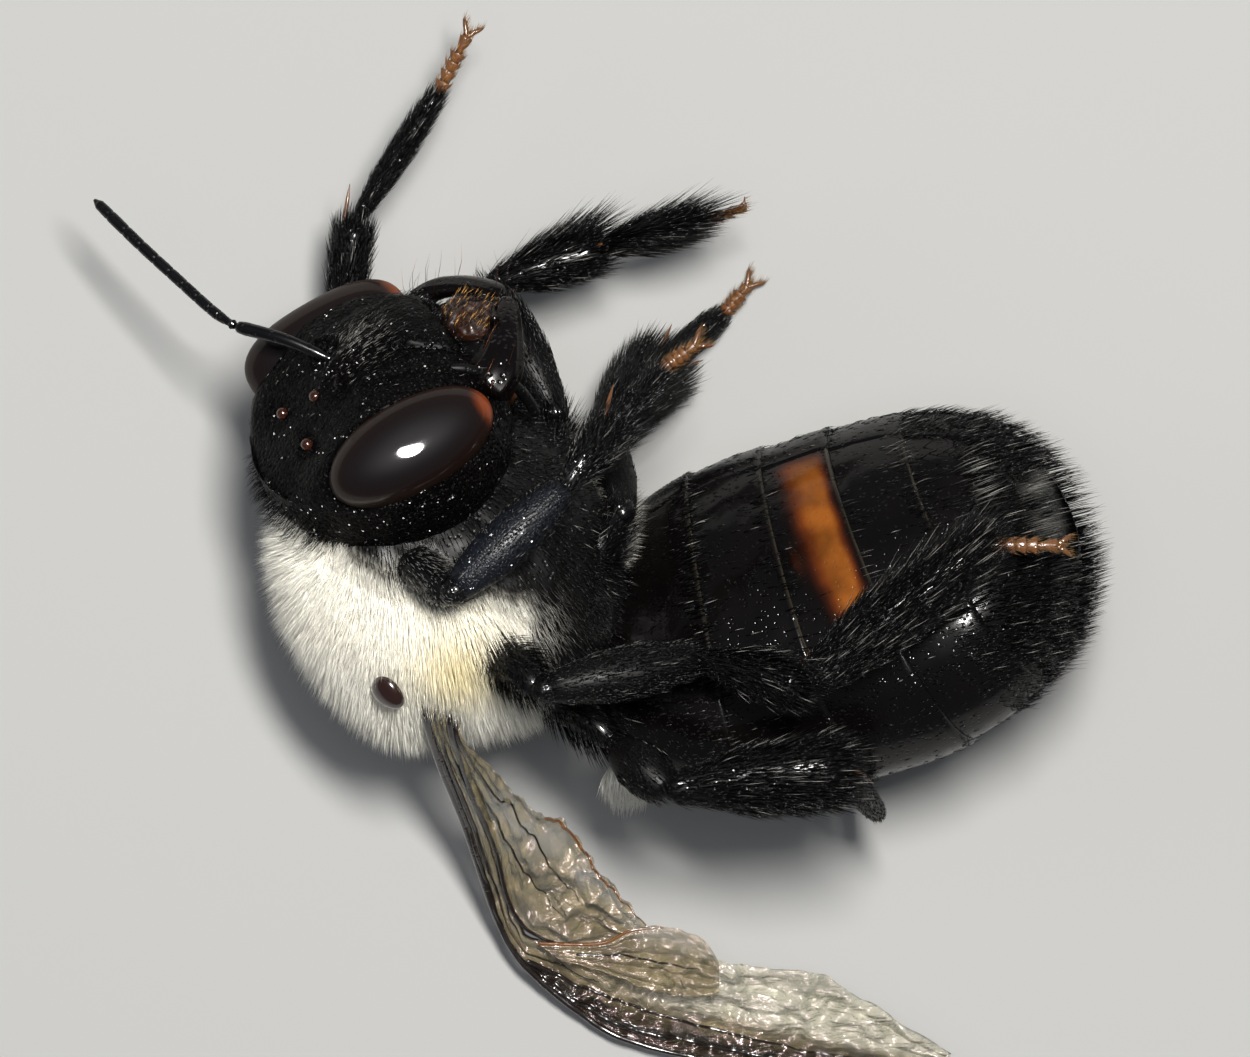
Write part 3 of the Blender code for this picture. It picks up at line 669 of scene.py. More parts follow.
def head_relief(p):
    """Heights in mm to add outward: grooves round the eyes, feeler sockets, clypeus, keel."""
    x, y, z = p.T
    rise = 0.035 * rough(p, 0.7) + 0.018 * rough(p, 0.25, 5.0)
    front = ease(y, 0.3, 1.0)
    for side in (-1, 1):
        far = eye_distance(p, side)
        rise -= 0.05 * hump(far, 1.03, 0.03)
        near = np.hypot(x - side * SOCKET_OUT, z - SOCKET_UP)
        rise -= front * (0.24 * hump(near, 0.0, 0.40) - 0.05 * hump(near, 0.42, 0.09))
        groove = np.hypot(x - side * (1.25 - 0.18 * z), 0 * z) / 0.16
        rise -= front * 0.07 * np.exp(-groove ** 2) * ease(0.4 - z, 0, 0.4) * ease(z, -1.6, -1.0)
        spot = np.linalg.norm(p - OCELLUS_HOLLOW * (side, 1, 1), axis=-1)
        rise -= 0.05 * hump(spot, 0.24, 0.06)
    edge = np.maximum(np.maximum(np.abs(x) - 0.62 + 0.5 * (z + 0.7), z + 0.7), -1.95 - z)
    rise += front * (0.07 * ease(-edge, 0.0, 0.2) - 0.07 * hump(edge, 0.02, 0.05))
    rise += front * 0.02 * hump(z, -1.88, 0.10) * ease(1.5 - np.abs(x), 0, 0.2)
    rise -= front * 0.25 * ease(-z, 1.98, 2.15) * ease(1.2 - np.abs(x), 0, 0.3)
    rise += front * 0.12 * hump(np.hypot(x, z + 0.25), 0, 0.5)
    rise += front * 0.06 * hump(x, 0.0, 0.09) * hump(z, 0.45, 0.45)
    rise += 0.05 * hump(y, HIND_RIM, 0.05)
    rise -= 0.05 * hump(y, HIND_RIM + 0.10, 0.05)
    return rise


def build_head():
    """Capsule with its sockets, clypeus and hind rim; the skin that the face hair grows from."""
    ways, faces, corners = ball_grid(92)
    p = head_surface(ways)
    p = p + ways * head_relief(p)[:, None]
    x, y, z = p.T
    clear = np.minimum(eye_distance(p, -1), eye_distance(p, 1))
    bare = ease(clear, 1.05, 1.2)
    front = ease(y, 0.5, 1.1)
    frons = np.exp(-(x ** 2 + (z + 0.25) ** 2) / 0.45) * front
    mouth = front * ease(-z, 1.6, 2.0)
    crown = ease(z, 2.0, 2.45) * ease(-y, -0.6, 0.5)
    cheek = ease(y, -0.2, -1.0)
    cover = bare * np.clip(0.12 * front + 1.2 * frons + 0.5 * mouth + 1.0 * crown
                           + 0.15 * cheek, 0, 1.6)
    nap = 0.30 - 0.04 * frons + 0.5 * crown + 0.25 * mouth + 0.25 * cheek
    down = np.stack([0.25 * x, np.full_like(x, 0.2), -np.ones_like(x)], -1)
    up = np.stack([0.2 * x, -0.3 * np.ones_like(x), np.ones_like(x)], -1)
    lie = unit(down * (1 - crown[:, None]) + up * crown[:, None])
    # Paler hair on the frons: partly its pale down, partly painted silver glint.
    marks = marks_for(len(p), cover, nap, turned(HEAD, lie), pale=0.2 * frons)
    marks["rim"] = hump(y, HIND_RIM, 0.022) * ease(z, -2.6, -1.0)
    head = make_mesh("head_capsule", place(HEAD, p), faces, corners, marks)
    finish_piece(head, HEAD_CUTICLE, "head_shell", "head")
    grow_coat("face_hair", head, "head_shell", BLACK_HAIR, 110, 0.55, 0.017, lift=0.9,
              bend=0.25, spread=0.3, clump=0.3)


def build_eyes():
    """Low, long domes, flatter in the middle than an egg, sunk where the head's plate rises."""
    ways, faces, corners = ball_grid(40)
    for side, word in ((-1, "left"), (1, "right")):
        out, along = np.array((side * 0.66, 0.75, 0.0)), np.array((-side * 0.75, 0.66, 0.0))
        u, z, n = ways.T
        ring = np.hypot(u / 0.98, z / EYE_SEMI[2])
        blunt = np.where(n > 0, 2.6, 2.0)
        reach = (ring ** blunt + np.abs(n / 0.98) ** blunt) ** (-1 / blunt)
        u, z, n = (ways * reach[:, None]).T
        p = (out * n[:, None] + along * u[:, None] + np.array((0, 0, 1)) * z[:, None]
             + (side * EYE_SIDE, EYE_FORWARD, 0))
        facing = faces if side > 0 else faces[:, ::-1]
        tiles = np.concatenate(corners).reshape(-1, 4, 2)
        tiles = tiles if side > 0 else tiles[:, ::-1]
        # The amber rim at the mouth's end: painted light shining through the eye's edge.
        low = ease(-z / EYE_SEMI[2], 0.62, 0.98)
        edge = ease(hump(u * side, -0.1, 0.7) * low, 0.35, 1.0)
        eye = make_mesh(f"eye_lens_{word}", place(HEAD, p), facing, [tiles],
                        {"amber": edge})
        finish_piece(eye, EYE_LENS, "eye_lens", f"eye_{word}")


def build_ocelli():
    """Three simple eyes on the crown, like drops of dark amber."""
    ways, faces, _ = ball_grid(8)
    for word, spot in OCELLI.items():
        p = ways * OCELLUS_RADIUS + np.array(spot)
        finish_piece(make_mesh(f"ocellus_{word}", place(HEAD, p), faces), OCELLUS, "head_shell")


BLADE_FACING = np.array((0.63, 0.77, 0.0))    # where the right jaw's flat side looks
MANDIBLE_LINE = ((1.74, 0.90, -1.90), (1.62, 1.05, -2.38), (1.25, 1.18, -2.76),
                 (0.75, 1.28, -3.10), (0.30, 1.33, -3.34), (-0.02, 1.34, -3.41))


def build_mandibles():
    """Curved jaws, broad at the root, with two lengthwise grooves and a second, inner tooth."""
    around = 28
    turn = np.linspace(0, 2 * math.pi, around, endpoint=False)
    for side, word in ((-1, "left"), (1, "right")):
        lift = 0.05 if side < 0 else -0.04
        path = smooth_path([(side * x, y + lift, z) for x, y, z in MANDIBLE_LINE], 44)
        wide = profile(44, (0, 0.36), (0.08, 0.60), (0.25, 0.54), (0.5, 0.38), (0.75, 0.27),
                       (0.93, 0.15), (1, 0.03))
        deep = profile(44, (0, 0.15), (0.06, 0.26), (0.3, 0.22), (0.6, 0.16), (0.9, 0.09),
                       (1, 0.02))
        rows, _ = tube(path, wide, deep, BLADE_FACING * (side, 1, 1), around)
        grooves = 1 - 0.22 * hump(np.sin(turn), 0.45, 0.12) - 0.2 * hump(np.sin(turn), 0.85, 0.06)
        rows = path[:, None] + (rows - path[:, None]) * grooves[None, :, None]
        tooth = smooth_path([(side * 0.70, 1.36, -2.90), (side * 0.46, 1.40, -2.98),
                             (side * 0.22, 1.40, -3.12)], 8)
        second = rod(tooth, profile(8, (0, 0.22), (1, 0.03)),
                     profile(8, (0, 0.12), (1, 0.03)), (0, 0.25, 1), 12)
        points, faces, corners = join(skin_of(rows), second)
        marks = marks_for(len(points), 0.10, 1.0, turned(HEAD, (side * 0.3, 0.9, -0.6)))
        jaw = make_mesh(f"jaw_{word}", place(HEAD, points), faces, corners, marks)
        finish_piece(jaw, JAW_CUTICLE, "jaw", f"mandible_{word}")
        grow_coat(f"jaw_bristles_{word}", jaw, "jaw", RED_HAIR, 30, 0.75, 0.014, lift=0.5,
                  bend=0.3, spread=0.3)


def build_mouth():
    """Labrum between the jaws over a dark throat, and the folded tongue in its groove."""
    ways, faces, corners = ball_grid(24)
    p = ways * (1.30, 0.42, 0.85) + (0, 0.86, -2.30)
    throat = make_mesh("throat", place(HEAD, p), faces, corners)
    finish_piece(throat, BODY_CUTICLE, "jaw")
    p = ways * (0.70, 0.30, 0.60)
    x, y, z = p.T
    x = x * (1 + 0.35 * z)
    y = y + (0.05 * np.cos(x * 11) + 0.07 * rough(p, 0.16)) * (y > 0) - 0.15 * z ** 2
    p = np.stack([x, y + 1.26 + 0.2 * z, z - 2.62], -1)
    marks = marks_for(len(p), ease(ways[:, 1], 0.1, 0.5), 1.0, turned(HEAD, (0, 0.5, -1.0)))
    labrum = make_mesh("labrum", place(HEAD, p), faces, corners, marks)
    finish_piece(labrum, LABRUM, "jaw")
    grow_coat("labrum_brush", labrum, "jaw", BRUSH_HAIR, 170, 0.26, 0.014, lift=0.6, bend=0.3,
              spread=0.5)
    parts = []
    for side in (-1, 1):
        path = smooth_path([(side * 0.30, 0.9, -2.75), (side * 0.34, 0.4, -2.85),
                            (side * 0.30, -0.5, -2.78), (side * 0.2, -1.25, -2.4)], 30)
        parts.append(rod(path, profile(30, (0, 0.1), (0.2, 0.3), (0.7, 0.26), (1, 0.05)),
                         profile(30, (0, 0.08), (0.2, 0.17), (0.7, 0.15), (1, 0.04)),
                         (0, 0, 1)))
    tongue = smooth_path([(0, 0.95, -2.8), (0, 0.3, -2.98), (0, -0.7, -2.86), (0, -1.3, -2.45)],
                         30)
    parts.append(rod(tongue, profile(30, (0, 0.05), (0.2, 0.12), (1, 0.04)),
                     profile(30, (0, 0.05), (0.2, 0.1), (1, 0.04)), (0, 0, 1), 12))
    points, faces, corners = join(*parts)
    sheath = make_mesh("tongue_sheath", place(HEAD, points), faces, corners)
    finish_piece(sheath, BROWN_CUTICLE, "jaw")


# The left feeler is free of the head and given in the layout; the right one lies against the
# face and is given in the head's frame.
SCAPE_LEFT = ((-2.50, 3.93, 6.42), (-3.5, 4.36, 6.3), (-4.55, 4.65, 5.95))
FLAGELLUM_LEFT = ((-4.55, 4.65, 5.95), (-5.0, 4.95, 5.65), (-5.75, 5.62, 5.2),
                  (-6.6, 6.4, 4.75), (-7.52, 7.3, 4.2))
SCAPE_RIGHT = ((0.62, 1.55, 0.35), (1.12, 1.76, -0.25), (1.42, 1.66, -1.3))
FLAGELLUM_RIGHT = ((1.42, 1.66, -1.3), (1.58, 1.42, -1.80), (1.62, 0.85, -2.30),
                   (1.60, 0.35, -2.62), (1.50, -0.2, -2.75), (1.45, -0.7, -2.8))
# Shares of a flagellum's length where its joints meet.
FEELER_JOINTS = np.array((0.0, 0.055, 0.20, 0.28, 0.37, 0.46, 0.55, 0.64, 0.73, 0.82, 0.91, 1))


def feeler(scape, flagellum):
    """A scape, then a pedicel and ten short joints with waists between them."""
    stalk = smooth_path(scape, 30)
    girth = profile(30, (0, 0.05), (0.03, 0.10), (0.08, 0.08), (0.16, 0.115), (0.9, 0.145),
                    (0.97, 0.12), (1, 0.05))
    first = rod(stalk, girth, girth, (0.1, 0.2, 1), 16)
    steps = 200
    waist = np.min(np.abs(np.linspace(0, 1, steps)[:, None] - FEELER_JOINTS[None, 1:-1]), axis=1)
    girth = profile(steps, (0, 0.07), (0.03, 0.11), (0.055, 0.09), (0.07, 0.075), (0.2, 0.115),
                    (0.9, 0.125), (0.97, 0.11), (1, 0.03)) * (1 - 0.13 * hump(waist, 0, 0.006))
    return first, rod(smooth_path(flagellum, steps), girth, girth, (0.1, 0.2, 1), 14)


def build_antennae():
    """Both feelers; the left one's scape and flagellum shine, the right one's are dull."""
    for word, scape, flagellum in (
            ("left", SCAPE_LEFT, FLAGELLUM_LEFT),
            ("right", place(HEAD, SCAPE_RIGHT), place(HEAD, FLAGELLUM_RIGHT))):
        for part, shell in zip(("scape", "flagellum"), feeler(scape, flagellum)):
            piece = make_mesh(f"feeler_{part}_{word}", *shell)
            finish_piece(piece, LEG_CUTICLE if word == "left" else DULL_CUTICLE,
                         "feeler_shell", f"{part}_{word}")


# --- thorax ---------------------------------------------------------------------------------
THORAX_SEMI = np.array((4.25, 4.45, 4.3))
BELLY_HALF = 3.2                      # how far the thorax reaches on its belly side
PILE_DEPTH, SHORT_DEPTH = 0.85, 0.25  # how deep the skin lies under the cream and black hair
# Two layers of long bent hairs over two of short straight ones: how many to the square
# millimetre, length, width and segments.
PILE_LAYERS = ((190, 0.95, 0.026, 2), (190, 0.92, 0.026, 2), (450, 0.80, 0.021, 1),
               (450, 0.84, 0.021, 1))


def over_pile(ways):
    """The outline that the pile's tips reach, along directions from the thorax's middle."""
    x, y, z = ways.T
    ring = np.hypot(x / THORAX_SEMI[0], z / THORAX_SEMI[2])
    blunt = 2.2
    reach = (ring ** blunt + np.abs(y / THORAX_SEMI[1]) ** blunt) ** (-1 / blunt)
    p = ways * reach[:, None]
    p = p * np.stack([np.ones_like(x), np.where(y < 0, 0.92, 1),
                      np.where(z < 0, BELLY_HALF / THORAX_SEMI[2], 1)], -1)
    return p * (1 - 0.14 * ease(-y, 0.2, 0.75))[:, None]


# From the lid over the wing's root to the place where the folded wing leaves the pile.
WING_ROOT = ((3.95, -0.5, -0.14), (3.43, -1.29, 0.12), (2.97, -2.25, 1.66))


def from_wing_root(p):
    """How far a thorax point lies from the line of the lid and the folded wing's root."""
    p = np.stack([np.abs(p[:, 0]), p[:, 1], p[:, 2]], -1)
    best = np.full(len(p), 1e3)
    for a, b in zip(WING_ROOT, WING_ROOT[1:]):
        a, b = np.array(a), np.array(b)
        t = np.clip((p - a) @ (b - a) / ((b - a) @ (b - a)), 0, 1)
        best = np.minimum(best, np.linalg.norm(p - a - t[:, None] * (b - a), axis=1))
    return best


def pile_share(p):
    """1 where the thorax is cream, 0 where it is black, from a point in its frame."""
    x, y, z = p.T
    turn = np.degrees(np.arctan2(np.abs(x), z))
    border = 133 - 9.0 * y + 6 * rough(p, 0.7, 3.0) - 34 * ease(-y, 1.3, 2.8)
    return 1 - ease(turn, border - 6, border + 8)


def build_thorax():
    """Bare thorax under its coat: cream pile over the back and sides, black hair beneath."""
    ways, faces, corners = ball_grid(56)
    outer = over_pile(ways)
    cream = pile_share(outer)
    depth = SHORT_DEPTH + (PILE_DEPTH - SHORT_DEPTH) * cream
    p = outer * (1 - depth / np.linalg.norm(outer, axis=1))[:, None]
    p = p + ways * (0.05 * rough(p, 0.9) + 0.06 * (1 - cream) * rough(p, 0.45, 7.0))[:, None]
    x, y, z = p.T
    bald = hump(np.hypot(x, y - 0.3), 0, 0.8) * (z > 0)
    root = from_wing_root(p)
    open_root = ease(root, 0.27, 0.42)
    back = np.stack([0.35 * x, -np.ones_like(x), 0.1 * z], -1)
    neck = ease(y, 1.2, 3.0)[:, None]
    lie = turned(THORAX, unit(back * (1 - 0.9 * neck) + ways * (0.5, 0.3, 0.5) * neck))
    warm = hump(np.linalg.norm(p - (3.1, -1.15, -1.35), axis=1), 0, 0.95)
    warm = np.clip(warm + 0.06 * (1 + rough(p, 1.2, 9.0)), 0, 1)
    shown = ease(cream + 0.25 * rough(p, 0.25, 5.0), 0.15, 0.6)
    cover = shown * (1 - 0.95 * bald) * open_root
    nap = (0.6 + 0.4 * cream) * (0.62 + 0.38 * ease(root, 0.4, 1.2))
    marks = marks_for(len(p), cover, nap, lie, np.clip(cream * 1.3, 0, 1) * (1 - bald), warm)
    thorax = make_mesh("thorax_skin", place(THORAX, p), faces, corners, marks)
    finish_piece(thorax, UNDER_PILE, "pile", "thorax")
    remark(thorax, {PALE: np.clip(cream * 1.6, 0, 1)})
    for n, (many, length, width, segments) in enumerate(PILE_LAYERS):
        grow_coat(f"thorax_pile_{n + 1}", thorax, "pile", PILE_HAIR, many, length, width,
                  lift=1.3, bend=0.14, spread=0.24, clump=0.45, clump_size=0.35,
                  segments=segments, seed=11 + n)
    # A greyer patch on the belly's side: partly whitish hairs, partly painted silver glint.
    grey = hump(np.linalg.norm(p - (1.9, -2.1, -2.3), axis=1), 0, 0.75)
    patchy = 0.55 + 0.6 * rough(p, 0.55, 3.0)
    remark(thorax, {COVER: (1 - shown) * open_root * np.clip(patchy + grey, 0.15, 1.2),
                    NAP: 0.7 + 0.35 * rough(p, 0.6, 8.0), PALE: 0.6 * grey})
    grow_coat("thorax_belly_hair", thorax, "pile", BLACK_HAIR, 170, 0.50, 0.017, lift=0.55,
              bend=0.25, spread=0.35, clump=0.9, clump_size=0.5, seed=31)
    remark(thorax, {PALE: np.clip(cream * 1.3, 0, 1) * (1 - bald)})


def build_neck():
    """The dark collar between head and thorax, with the fore legs' roots under it."""
    ways, faces, corners = ball_grid(30)
    middle = (HEAD[0] * 0.52 + THORAX[0] * 0.48) + np.array((-0.05, -0.05, 0.1))
    at = frame_at(middle, HEAD[0] - THORAX[0], THORAX[1][2])
    p = ways * (2.3, 1.1, 2.05)
    p = p + ways * (0.08 * rough(p, 0.6, 2.0))[:, None]
    marks = marks_for(len(p), 0.6 * ease(np.abs(p[:, 1]), 1.3, 0.2), 1.0,
                      turned(at, (0, 1.0, -0.1)))
    neck = make_mesh("collar", place(at, p), faces, corners, marks)
    finish_piece(neck, BODY_CUTICLE, "leg_shell")
    grow_coat("collar_hair", neck, "leg_shell", BLACK_HAIR, 130, 0.36, 0.018, lift=0.9,
              bend=0.2, spread=0.3)


TEGULA_TURN = math.radians(92)    # from the back's middle to the lid over a wing's root


def build_tegulae():
    """The lids over the wing roots: brown lacquered domes, flatter on their inner side."""
    ways, faces, corners = ball_grid(22)
    for side, word in ((-1, "left"), (1, "right")):
        outward = np.array((side * math.sin(TEGULA_TURN), 0, math.cos(TEGULA_TURN)))
        middle = outward * THORAX_SEMI[0] * 0.93 + (0, -0.5, 0)
        at = frame_at(place(THORAX, middle), THORAX[1][1], turned(THORAX, outward))
        p = ways * (0.36, 0.40, 0.22) * np.stack(
            [1 + 0.15 * ways[:, 1], np.ones(len(ways)), np.where(ways[:, 2] < 0, 0.5, 1.0)], -1)
        lid = make_mesh(f"wing_lid_{word}", place(at, p), faces, corners)
        finish_piece(lid, TEGULA, "wing_root_lid", f"tegula_{word}")


# --- abdomen --------------------------------------------------------------------------------
ABDOMEN_WIDTH, ABDOMEN_DEPTH, ABDOMEN_LENGTH = 7.9, 5.7, 10.3
ABDOMEN_CURL = math.radians(30)
PLATE_ENDS = (0.02, 0.25, 0.448, 0.632, 0.806, 0.92, 0.995)
PLATE_TUFTS = (150, 70, 70, 70, 90, 130)    # hairs to the square millimetre, front to rear
PLATE_OVERLAP = 0.055    # the share of the abdomen that a plate reaches in under the one before
PLATE_LEVEL, PLATE_THICK = 0.972, 0.024    # shares of the abdomen's girth
SKEW = 0.0187            # how much further back a rim lies for each mm to the right
BELLY_HALF_TURN = 46     # degrees each side of the belly's middle that a belly plate covers
BACK_OVERHANG = 6        # degrees that a back plate reaches over a belly plate


def abdomen_point(share, turn, swell):
    """A point of the curled abdomen; turn is 0 on the back and grows to the bee's right."""
    share, turn, swell = np.broadcast_arrays(share, turn, swell)
    front = 1 - (1 - np.minimum(share / 0.42, 1.0)) ** 2.6
    rear = 1 - np.clip((share - 0.45) / 0.56, 0, 1) ** 3
    girth = (0.62 + 0.38 * front) * np.sqrt(np.maximum(rear, 0)) * swell
    curl = ABDOMEN_CURL * share
    radius = ABDOMEN_LENGTH / ABDOMEN_CURL
    flat_belly = 1 - 0.05 * hump(np.cos(turn), -1.0, 0.35)
    across = ABDOMEN_WIDTH / 2 * girth * np.sin(turn)
    over = ABDOMEN_DEPTH / 2 * girth * np.cos(turn) * flat_belly
    return np.stack([across, -radius * np.sin(curl) - np.sin(curl) * over,
                     -radius * (1 - np.cos(curl)) + np.cos(curl) * over], -1)


def skewed(side, end):
    """How far back a place `side` mm to the right lies on the plate that ends at `end`."""
    return SKEW * side * ease(end, 0.3, 0.6) * ease(end, 1.05, 0.8)


def plate_points(start, end, turn_low, turn_high, lift, steps):
    """Outer and inner points of one bent plate, its hind rim thickened and rolled in."""
    v = np.linspace(0, 1, steps[0])[:, None]
    turns = np.radians(np.linspace(turn_low, turn_high, steps[1]))[None, :]
    share = start + (end - start) * v + skewed(ABDOMEN_WIDTH / 2 * np.sin(turns) * 0.9, end)
    edge = np.minimum(turns - turns.min(), turns.max() - turns)
    outer = (PLATE_LEVEL + lift + 0.022 * ease(v, 0.1, 1.0) + 0.004 * hump(v, 0.97, 0.02)
             - 0.012 * (1 - ease(edge, 0, 0.05)) - 0.010 * ease(v, 0.975, 1.0))
    share = np.clip(share, 0.0, 0.9985)
    return (abdomen_point(share, turns, outer), abdomen_point(share, turns, outer - PLATE_THICK),
            np.broadcast_to(turns, share.shape), share)


def sheet_faces(rows, columns):
    """Faces and unwrap of a closed sheet: an upper grid, a lower grid and the rim between."""
    count = rows * columns
    i, k = np.meshgrid(np.arange(columns - 1), np.arange(rows - 1))
    low = k * columns + i
    top = np.stack([low, low + 1, low + columns + 1, low + columns], -1).reshape(-1, 4)
    u0, u1 = i / (columns - 1), (i + 1) / (columns - 1)
    v0, v1 = k / (rows - 1), (k + 1) / (rows - 1)
    tile = np.stack([np.stack(c, -1) for c in ((u0, v0), (u1, v0), (u1, v1), (u0, v1))], -2)
    tile = tile.reshape(-1, 4, 2) * (0.49, 0.98) + 0.005
    bottom, under = top[:, ::-1] + count, tile[:, ::-1] + (0.5, 0)
    ring = np.concatenate([np.arange(columns), np.arange(1, rows) * columns + columns - 1,
                           (rows - 1) * columns + np.arange(columns - 2, -1, -1),
                           np.arange(rows - 2, 0, -1) * columns])
    after = np.roll(ring, -1)
    rim = np.stack([ring, ring + count, after + count, after], -1)
    spot = np.stack([ring % columns / (columns - 1), ring // columns / (rows - 1)], -1)
    spot = spot * (0.49, 0.98) + 0.005
    edge = np.stack([spot, spot, np.roll(spot, -1, 0), np.roll(spot, -1, 0)], 1)
    return (np.concatenate([top, bottom, rim]),
            [np.concatenate([tile, under, edge]).reshape(-1, 2)])


def abdomen_finish():
    """Black chitin that thins to a clear amber window where a belly plate is not yet dark,
    with pale skin at the plates' hind rims and cream skin under the white hair."""
    made, tree, shader, base = cuticle("abdomen chitin", "#020202", 0.22, 0.085, 0.010,
                                       pit_share=0.35, coat=0.07, second="#050303",
                                       level=0.08, coat_ior=3.0)
    where = add(tree, "ShaderNodeTexCoord").outputs["Object"]
    cloud = add(tree, "ShaderNodeTexNoise", {"Vector": where, "Scale": per_metre(0.9),
                                             "Detail": 3.0})
    window, margin = (add(tree, "ShaderNodeAttribute", attribute_name=a).outputs["Fac"]
                      for a in ("amber", "margin"))
    glow = add(tree, "ShaderNodeValToRGB", {0: window})
    ramp = glow.color_ramp
    ramp.elements[0].color, ramp.elements[1].color = linear("#030202"), linear("#5C320E")
    for spot, code in ((0.3, "#0E0401"), (0.55, "#2A0F04"), (0.8, "#461F07")):
        ramp.elements.new(spot).color = linear(code)
    patchy = add(tree, "ShaderNodeMapRange", {"Value": cloud.outputs["Fac"], "From Min": 0.35,
                                              "From Max": 0.7, "To Min": 1.3, "To Max": 0.45})
    amber = add(tree, "ShaderNodeVectorMath", {0: glow.outputs[0],
                                               "Scale": patchy.outputs["Result"]},
                operation="SCALE")
    shell = add(tree, "ShaderNodeMix", {0: window, 6: base, 7: amber.outputs[0]},
                data_type="RGBA")
    faint = add(tree, "ShaderNodeMath", {0: margin, 1: cloud.outputs["Fac"]},
                operation="MULTIPLY")
    rim = add(tree, "ShaderNodeMix", {0: faint, 6: shell.outputs[2], 7: linear("#3A352A")},
              data_type="RGBA")
    pale = add(tree, "ShaderNodeAttribute", attribute_name=PALE)
    painted = add(tree, "ShaderNodeMapRange", {"Value": pale.outputs["Fac"],
                                               "From Min": 0.5, "From Max": 1.0})
    under = add(tree, "ShaderNodeMix", {0: painted.outputs["Result"], 6: rim.outputs[2],
                                        7: linear("#C9C5B6")}, data_type="RGBA")
    tree.links.new(under.outputs[2], shader.inputs["Base Color"])
    return made


ABDOMEN_CUTICLE = abdomen_finish()


def band(v, p, turn):
    """The amber window across the third belly plate, with a reddish blotch before it."""
    wave = 0.07 * rough(p, 0.7, 4.0)
    window = ease(v + wave, 0.05, 0.62) * (1 - ease(v + wave, 0.78, 1.06))
    ends = 1 - ease(np.abs(np.degrees(turn) - 180), 34, 48)
    blotch = 0.35 * hump(v, 0.16, 0.08) * hump(np.degrees(turn), 176, 7)
    return np.clip(window * ends + blotch, 0, 1)


def plate_marks(n, word, p, v, turn, top):
    """Where hair grows on plate n, how long and how pale, and where its chitin is clear."""
    belly = hump(turn, math.pi, 0.55)
    window = band(v, p, turn)
    clean = 1 - window * (n == 2)
    tuft, silver = 0.0, 0.0
    if word == "belly":
        cover = top * (0.14 + 0.7 * hump(v, 0.88, 0.10) * belly + 0.8 * (n == 5))
        cover = cover * clean ** 2
        nap = 0.55 + 0.5 * hump(v, 0.88, 0.15) + 0.5 * (n >= 4)
        if n > 1:
            silver = ((0.34 - 0.16 * (n == 5)) * hump(v, 0.82, 0.16) * belly
                      * ease(rough(p, 0.7, n + 2.0), -0.1, 0.35) * clean)
    else:
        cover = top * (0.10 + 0.6 * (n >= 4) + 0.35 * ease(np.abs(turn), 1.5, 2.3))
        nap = 0.4 + 0.5 * (n == 4) + 0.9 * (n == 5)
        if n == 0:
            tuft = ease(np.abs(turn), 1.75, 1.5)
    marks = marks_for(len(p), (cover + 1.4 * tuft + silver) * top, nap + 0.9 * tuft,
                      turned(ABDOMEN, (0, -1.0, -0.2)), tuft + silver)
    marks["amber"] = window * (n == 2 and word == "belly")
    marks["margin"] = hump(v, 0.992, 0.012) * (word == "belly") * (n < 4)
    return marks


def build_plates():
    """Back plates reach round the sides over the belly plates; each rim covers the next."""
    back_half = 180 - BELLY_HALF_TURN + BACK_OVERHANG
    kinds = (("back", -back_half, back_half, 0.010, (26, 110)),
             ("belly", 180 - BELLY_HALF_TURN, 180 + BELLY_HALF_TURN, 0.0, (44, 60)))
    for n, (start, end) in enumerate(zip(PLATE_ENDS, PLATE_ENDS[1:])):
        front = max(start - PLATE_OVERLAP, 0.0)
        for word, low, high, lift, steps in kinds:
            outer, inner, turns, share = plate_points(front, end, high, low,
                                                      lift - 0.006 * (n == 5), steps)
            v = (share - skewed(outer[..., 0], end) - start) / (end - start)
            p = np.concatenate([outer.reshape(-1, 3), inner.reshape(-1, 3)])
            out = unit(p - abdomen_point(np.tile(share.ravel(), 2), 0.0, 0.0))
            bumps = 0.018 * rough(p, 0.8, n) * (word == "belly") + 0.008 * rough(p, 0.3, n)
            p = p + out * bumps[:, None]
            marks = plate_marks(n, word, p, np.tile(v.ravel(), 2), np.tile(turns.ravel(), 2),
                                np.repeat((1.0, 0.0), v.size))
            plate = make_mesh(f"{word}_plate_{n + 1}", place(ABDOMEN, p),
                              *sheet_faces(*v.shape), marks)
            hides = (f"abdomen_segment_{n + 1}",) if word == "back" else ()
            finish_piece(plate, ABDOMEN_CUTICLE, "abdomen_shell", *hides)
            grow_coat(f"{word}_plate_{n + 1}_hair", plate, "abdomen_shell",
                      PILE_HAIR if n == 0 and word == "back" else BLACK_HAIR, PLATE_TUFTS[n],
                      0.55, 0.030 if n == 0 else 0.022, lift=0.42, bend=0.22, spread=0.16,
                      clump=0.25, seed=40 + n)


def build_abdomen():
    """A soft dark core with the plates over it."""
    shares = np.linspace(0.0, 0.985, 60)[:, None]
    turns = np.linspace(2 * math.pi, 0, 64, endpoint=False)[None, :]
    rows = abdomen_point(shares, turns, 0.955)
    points, faces, corners = skin_of(rows)
    core = make_mesh("abdomen_core", place(ABDOMEN, points), faces, corners)
    finish_piece(core, BODY_CUTICLE, "abdomen_shell")
    build_plates()
    ways, faces, corners = ball_grid(12)
    for side, word in ((-1, "left"), (1, "right")):
        p = ways * (0.26, 0.46, 0.34) + (side * 2.50, -0.22, 0.15)
        marks = marks_for(len(p), 1.0, 1.0, turned(ABDOMEN, (side, 0.3, 0.5)), 1.0)
        pad = make_mesh(f"front_tuft_{word}", place(ABDOMEN, p), faces, corners, marks)
        finish_piece(pad, UNDER_PILE, "pile")
        grow_coat(f"front_tuft_hair_{word}", pad, "pile", PILE_HAIR, 620, 0.78, 0.026, lift=0.4,
                  bend=0.25, spread=0.22, clump=0.35, seed=61)


